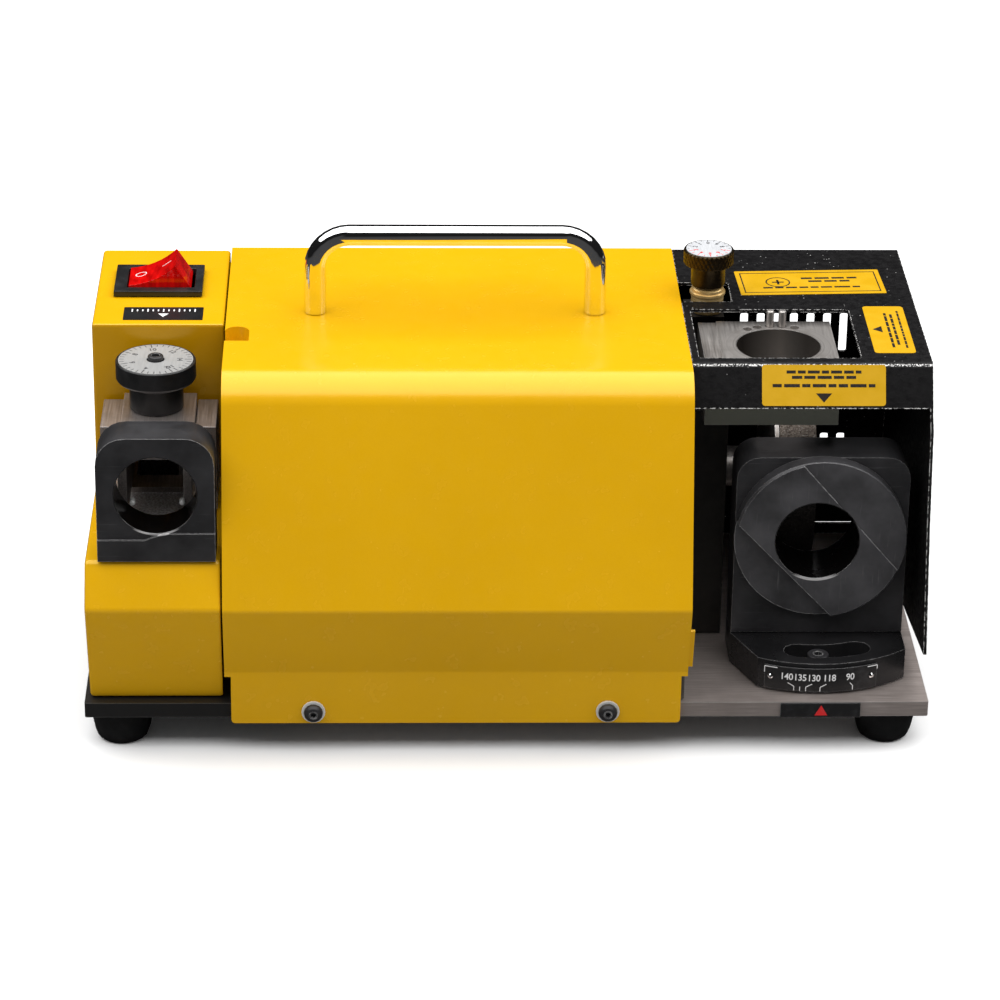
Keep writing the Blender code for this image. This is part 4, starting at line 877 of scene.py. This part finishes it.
def guard_labels():
    """Three yellow stickers: behind the top window, beside it, and on the front lip."""
    top = GUARD_HIGH.z / MM
    lean = 0.042                    # the rear sticker sits a little askew
    back = Sheet(at(119.9, 112.4, top), (1.0, lean, 0.0), (-lean, 1.0, 0.0))
    marks = frame_lines(53.0, 19.6, 0.45)
    sign = (-12.6, 0.4, 4.6)
    marks += ring_strokes(*sign, 0.5, 20) + [bar(*sign, 0.9), bar(*sign, 0.9, 90)]
    marks += text_line(8.0, 4.0, 22.0, 1.5, 3) + text_line(8.0, 0.9, 17.0, 1.5, 9)
    marks += text_line(0.0, -5.2, 38.0, 1.3, 4)
    add_label("label_rear", back, 57.0, 24.4, 0.6, marks)

    side = Sheet(at(145.4, 65.0, top), BACK, (-1.0, 0.02, 0.0))
    marks = [[(-3.0, 2.6), (3.0, 2.6), (0.0, 6.2)]]
    marks += text_line(0.0, 0.0, 35.0, 1.0, 5) + text_line(0.0, -2.2, 30.0, 1.0, 6)
    marks += text_line(0.0, -5.0, 36.0, 0.8, 12)
    add_label("label_side", side, 45.6, 15.6, 1.6, marks)

    lip_x = 117.3
    lip_top, lip_low = at(lip_x, GUARD_FOLD_Y, GUARD_FOLD_Z), at(lip_x, GUARD_LIP_Y, GUARD_LIP_Z)
    front = Sheet(lip_low.lerp(lip_top, 0.515), RIGHT, lip_top - lip_low)
    marks = [[(-3.0, -3.0), (0.0, -6.4), (3.0, -3.0)]]
    marks += text_line(0.0, 5.0, 28.0, 1.1, 7) + text_line(0.0, 3.0, 24.0, 1.1, 11)
    marks += text_line(0.0, -0.1, 38.5, 1.2, 8)
    add_label("label_lip", front, 46.4, 15.4, 1.2, marks)


def casing_label():
    """Black strip behind the web dial: a pointer and a row of graduations."""
    place = Sheet(at(-131.2, 80.4, CASING_HIGH.z / MM), RIGHT, BACK)
    marks = [[(-2.0, -0.2), (0.0, -3.4), (2.0, -0.2)]]
    marks += [bar(-12.0 + 2.0 * i, 3.0, 2.6 if i % 3 == 0 else 1.7, 0.5, 90) for i in range(13)]
    add_label("label_dial_pointer", place, 30.4, 12.6, 0.4, marks, LABEL_BLACK, INK_WHITE)


def index_mark():
    """Red pointer on the index plate's front edge, in line with the swivel's pivot."""
    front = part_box("index_plate")[0].y
    place = Sheet(Vector((PIVOT_X * MM, front, centre_of("index_plate").z)), RIGHT, UP)
    printed("index_pointer", [[(-2.5, -2.2), (2.5, -2.2), (0.0, 2.1)]], place, 0.0, SKIN, INK_RED, "frame")


def angle_scale():
    """Point angles on the head's curved plate; each tick lies where the head points at that angle."""
    place = Drum(at(PIVOT_X, PIVOT_Y, SCALE_Z), SCALE_RADIUS * MM, -90.0)
    per_degree = SCALE_RADIUS * math.pi / 180
    rest_half_angle = 59.0
    foot, bend, tip, line = -4.7, -2.9, -1.6, 0.32
    ticks = []
    for text, label in (("140", -12.9), ("135", -7.7), ("130", -2.5), ("118", 3.5), ("90", 11.6)):
        u = (rest_half_angle - int(text) / 2) * per_degree
        lean = min(max(label - u, -2.4), 2.4)
        ticks.append(stroke((u, foot), (u, bend), line))
        if abs(lean) > 0.5:
            ticks.append(stroke((u, bend), (u + lean, tip), line))
        numeral("angle_" + text, text, 3.9, place, label, 0.9, 0.0, INK_WHITE, "point_head", SKIN, 0.9)
    left, right, upper = -21.6, 22.8, 4.2
    ticks += [stroke((left, upper), (left + 5.0, upper), 0.35),
              stroke((right - 4.2, upper), (right, upper), 0.35),
              stroke((left, upper), (left, 1.6), 0.3), stroke((right, upper), (right, 2.6), 0.3)]
    printed("angle_ticks", ticks, place, 0.0, SKIN, INK_WHITE, "point_head")


def dial_numeral(name, text, size, place, reach, degrees, colour, body):
    """A figure on a dial, its head outwards."""
    turn = math.radians(degrees)
    u, v = reach * math.cos(turn), reach * math.sin(turn)
    numeral(name, text, size, place, u, v, degrees - 90.0, colour, body, 0.01 * MM)


def web_dial():
    """36 graduations, every fifth long and with an even number."""
    place = Sheet(top_of("web_dial_disc"), RIGHT, BACK)
    outer = 13.8
    ticks = []
    for i in range(36):
        degrees = -60.0 - 10.0 * i
        turn = math.radians(degrees)
        if i % 5 == 0:
            ticks.append(spoke(turn, 11.0, outer, 0.42))
            number = i // 5
            dial_numeral(f"web_dial_{number}", str(2 * number + 2), 3.2, place, 9.1, degrees, INK_GREY,
                         "web_dial")
        else:
            ticks.append(spoke(turn, 12.0, outer, 0.32))
    printed("web_dial_ticks", ticks, place, 0.0, DIAL_SKIN, INK_GREY, "web_dial")


def relief_dial():
    """20 graduations and ten numbers, red on the lower side and grey on the upper."""
    place = Sheet(top_of("relief_dial_disc"), RIGHT, BACK)
    grey, red = [], []
    for i in range(20):
        degrees = (90 + 18 * i) % 360
        is_red = 190 < degrees < 345
        marks = red if is_red else grey
        marks.append(spoke(math.radians(degrees), 6.9 if i % 2 == 0 else 7.5, 8.4, 0.3))
        if i % 2 == 0:
            dial_numeral(f"relief_dial_{i // 2}", str(i // 2), 2.7, place, 5.4, degrees,
                         INK_RED if is_red else INK_GREY, "relief_dial")
    printed("relief_dial_ticks", grey, place, 0.0, DIAL_SKIN, INK_GREY, "relief_dial")
    printed("relief_dial_red_ticks", red, place, 0.0, DIAL_SKIN, INK_RED, "relief_dial")


def rocker_marks():
    """The off circle and the on stroke, on the rocker's hollow face."""
    left, over, radius = ROCKER_HOLLOW
    centre = at(SWITCH_X - left, depth(centre_of("switch_rocker").y), ROCKER_PIVOT_Z + over)

    def place(u, v, lift=0.0):
        turn = math.radians(-90.0) + u / radius
        reach = radius * MM - lift
        return centre + Vector((reach * math.cos(turn), v * MM, reach * math.sin(turn)))

    marks = ring_strokes(6.6, 0.4, 2.1, 0.34, 24, 0.9) + [bar(17.7, 0.4, 4.2, 0.36)]
    printed("rocker_marks", marks, place, 0.0, 0.05 * MM, INK_WHITE, "switch_rocker")


def port_pins():
    """Two locating pins low in the web port's bore."""
    profile = [(0.0, 0.0), (0.6, 0.0), (1.0, 0.5), (1.0, 3.2), (0.0, 3.2)]
    for side, offset in (("left", -9.3), ("right", 9.1)):
        foot = at(WEB_PORT_X + offset, 9.8, 99.9)
        lathe("port_pin_" + side, profile, foot, BACK, ZINC, "web_carriage", 16)


def relief_knob():
    """The relief dial's knob with its diamond knurl cut in, and the turned nut that it stands on."""
    centre = Vector((*centre_of("relief_knob").xy, 0.0))
    rows, starts = 18, 34
    bottom, top = 161.2, 166.2
    knurl_radius = 9.62
    profile = [(0.0, 151.6), (5.6, 151.6), (6.4, 152.2), (6.6, 153.4), (6.6, 159.6), (6.9, 160.2),
               (9.2, 160.8), (9.45, 161.1)]
    profile += [(knurl_radius, bottom + (top - bottom) * i / rows) for i in range(rows + 1)]
    profile += [(9.45, 166.5), (9.25, 166.7), (9.1, 166.7), (9.0, 166.0), (0.0, 166.0)]

    def ripple(turn, radius, height):
        if radius < knurl_radius:
            return 0.0
        slope = (height - bottom) * 1.9
        ridges = abs(math.sin((turn * starts + slope) / 2)) + abs(math.sin((turn * starts - slope) / 2))
        return 0.16 * (ridges - 1.1)

    knob = lathe("relief_knob_knurled", profile, centre, UP, FINISH["bronze"][0], "relief_dial",
                 204, ripple)
    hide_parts("relief_knob")
    flanged = [(0.0, 141.3), (6.3, 141.3), (6.3, 148.3), (6.9, 148.5), (6.9, 149.3), (6.2, 149.6),
               (6.2, 150.7), (5.4, 151.3), (0.0, 151.3)]
    nut = lathe("relief_nut_turned", flanged, centre, UP, FINISH["brass"][0], "frame", 48)
    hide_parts("relief_nut")


def screw_details():
    """Key holes in the three hexagon-socket screws, and the slot in the fuse cap."""
    for side in ("left", "right"):
        centre = centre_of("cover_screw_" + side)
        centre.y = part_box("cover_screw_" + side)[0].y + 0.12 * MM
        hex_socket("cover_key_" + side, centre, -BACK, 1.48, 2.1, 1.1, "frame")
    centre = top_of("swivel_lock_screw") - UP * 0.1 * MM
    hex_socket("lock_key", centre, UP, 1.96, 3.0, 1.6, "swivel_lock")
    centre = centre_of("fuse_cap")
    centre.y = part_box("fuse_cap")[1].y
    face = Sheet(centre, -RIGHT, UP)
    printed("fuse_slot", [bar(0.0, 0.0, 8.0, 1.2)], face, 0.0, 0.05 * MM, LABEL_BLACK, "frame")


def case_screws():
    """Low cross-head screws that hold the covers to the base, on the sides that face away."""
    head = [(0.0, 1.25), (1.2, 1.2), (2.3, 0.85), (2.7, 0.3), (2.7, 0.05), (0.0, 0.05)]
    places = [("casing_side_front", at(CASING_LOW.x / MM, 30, 29), -RIGHT),
              ("casing_side_rear", at(CASING_LOW.x / MM, 120, 29), -RIGHT),
              ("guard_side_rear", at(GUARD_HIGH.x / MM, 136, 30), RIGHT),
              ("cover_rear_left", at(-88, depth(COVER_HIGH.y), 30), BACK),
              ("cover_rear_right", at(50, depth(COVER_HIGH.y), 30), BACK),
              ("guard_rear_left", at(80, depth(GUARD_HIGH.y), 30), BACK),
              ("guard_rear_right", at(148, depth(GUARD_HIGH.y), 30), BACK)]
    for name, centre, axis in places:
        lathe("screw_" + name, head, centre, axis, CHROME, "frame", 28)
        face = Sheet(centre, UP.cross(axis), UP)
        cross = [bar(0, 0, 2.4, 0.5, 20), bar(0, 0, 2.4, 0.5, 110)]
        printed("cross_" + name, cross, face, 1.1 * MM, 1.27 * MM, INK_BLACK, "frame")


# ---------------------------------------------------------------- floor, light and camera

def mixed(tree, factor, first, second):
    """The second shader for one kind of ray, the first for the rest."""
    mix = tree.nodes.new("ShaderNodeMixShader")
    tree.links.new(factor, mix.inputs["Fac"])
    tree.links.new(first.outputs[0], mix.inputs[1])
    tree.links.new(second.outputs[0], mix.inputs[2])
    return mix


def grey_shader(tree, kind, level):
    shader = tree.nodes.new(kind)
    shader.inputs["Color"].default_value = (level, level, level, 1.0)
    return shader


def by_ray(tree, kind, direct, bounced, mirrored, output):
    """Greys for what the camera sees, for light that bounces, and for what mirrors show."""
    rays = tree.nodes.new("ShaderNodeLightPath")
    direct, bounced, mirrored = (grey_shader(tree, kind, level) for level in (direct, bounced, mirrored))
    dim = mixed(tree, rays.outputs["Is Glossy Ray"], bounced, mirrored)
    final = mixed(tree, rays.outputs["Is Camera Ray"], dim, direct)
    tree.links.new(final.outputs[0], tree.nodes.new(output).inputs["Surface"])


def add_floor():
    """Pale floor; it is darker to mirrors so that polished metal keeps its contrast."""
    mesh = bpy.data.meshes.new("floor")
    reach = 6.0
    corners = [(-reach, -reach, 0.0), (reach, -reach, 0.0), (reach, reach, 0.0), (-reach, reach, 0.0)]
    mesh.from_pydata(corners, [], [(0, 1, 2, 3)])
    material = bpy.data.materials.new("pale_floor")
    material.use_nodes = True
    material.node_tree.nodes.clear()
    by_ray(material.node_tree, "ShaderNodeBsdfDiffuse", 0.95, 0.42, 0.035, "ShaderNodeOutputMaterial")
    mesh.materials.append(material)
    floor = placed("floor", mesh)


def add_world():
    """White to the camera, a dim studio to everything else."""
    world = bpy.data.worlds.new("studio")
    bpy.context.scene.world = world
    world.use_nodes = True
    world.node_tree.nodes.clear()
    by_ray(world.node_tree, "ShaderNodeBackground", 1.0, 0.25, 0.012, "ShaderNodeOutputWorld")


def add_softbox():
    """A wide lamp overhead, facing straight down."""
    light = bpy.data.lights.new("overhead_softbox", "AREA")
    light.shape = "RECTANGLE"
    light.size = 3.3
    light.size_y = 1.78
    radiance = 2.85
    light.energy = radiance * math.pi * light.size * light.size_y
    lamp = placed("overhead_softbox", light)
    lamp.location = (0.0, -0.07, 1.1)
    lamp.visible_camera = False


def add_camera():
    """The photo's camera, solved from the base plate's corners and edges."""
    camera = bpy.data.cameras.new("camera")
    camera.lens = 144.0
    camera.sensor_width = 36.0
    camera.clip_start = 0.05
    yaw, pitch, roll = math.radians(2.0), math.radians(25.3), math.radians(0.85)
    forward = Vector((math.sin(yaw) * math.cos(pitch), math.cos(yaw) * math.cos(pitch), -math.sin(pitch)))
    level = Vector((math.cos(yaw), -math.sin(yaw), 0.0))
    above = level.cross(forward)
    right = level * math.cos(roll) + above * math.sin(roll)
    up = above * math.cos(roll) - level * math.sin(roll)
    stand = Matrix((right, up, -forward)).transposed().to_4x4()
    stand.translation = at(-50.8, -1335.9, 737.8)
    viewer = placed("camera", camera)
    viewer.matrix_world = stand
    bpy.context.scene.camera = viewer


def main():
    finish_nodes()
    guard_labels()
    casing_label()
    index_mark()
    angle_scale()
    web_dial()
    relief_dial()
    rocker_marks()
    relief_knob()
    port_pins()
    screw_details()
    case_screws()
    add_floor()
    add_world()
    add_softbox()
    add_camera()
    bpy.context.scene.view_settings.view_transform = "Standard"


main()
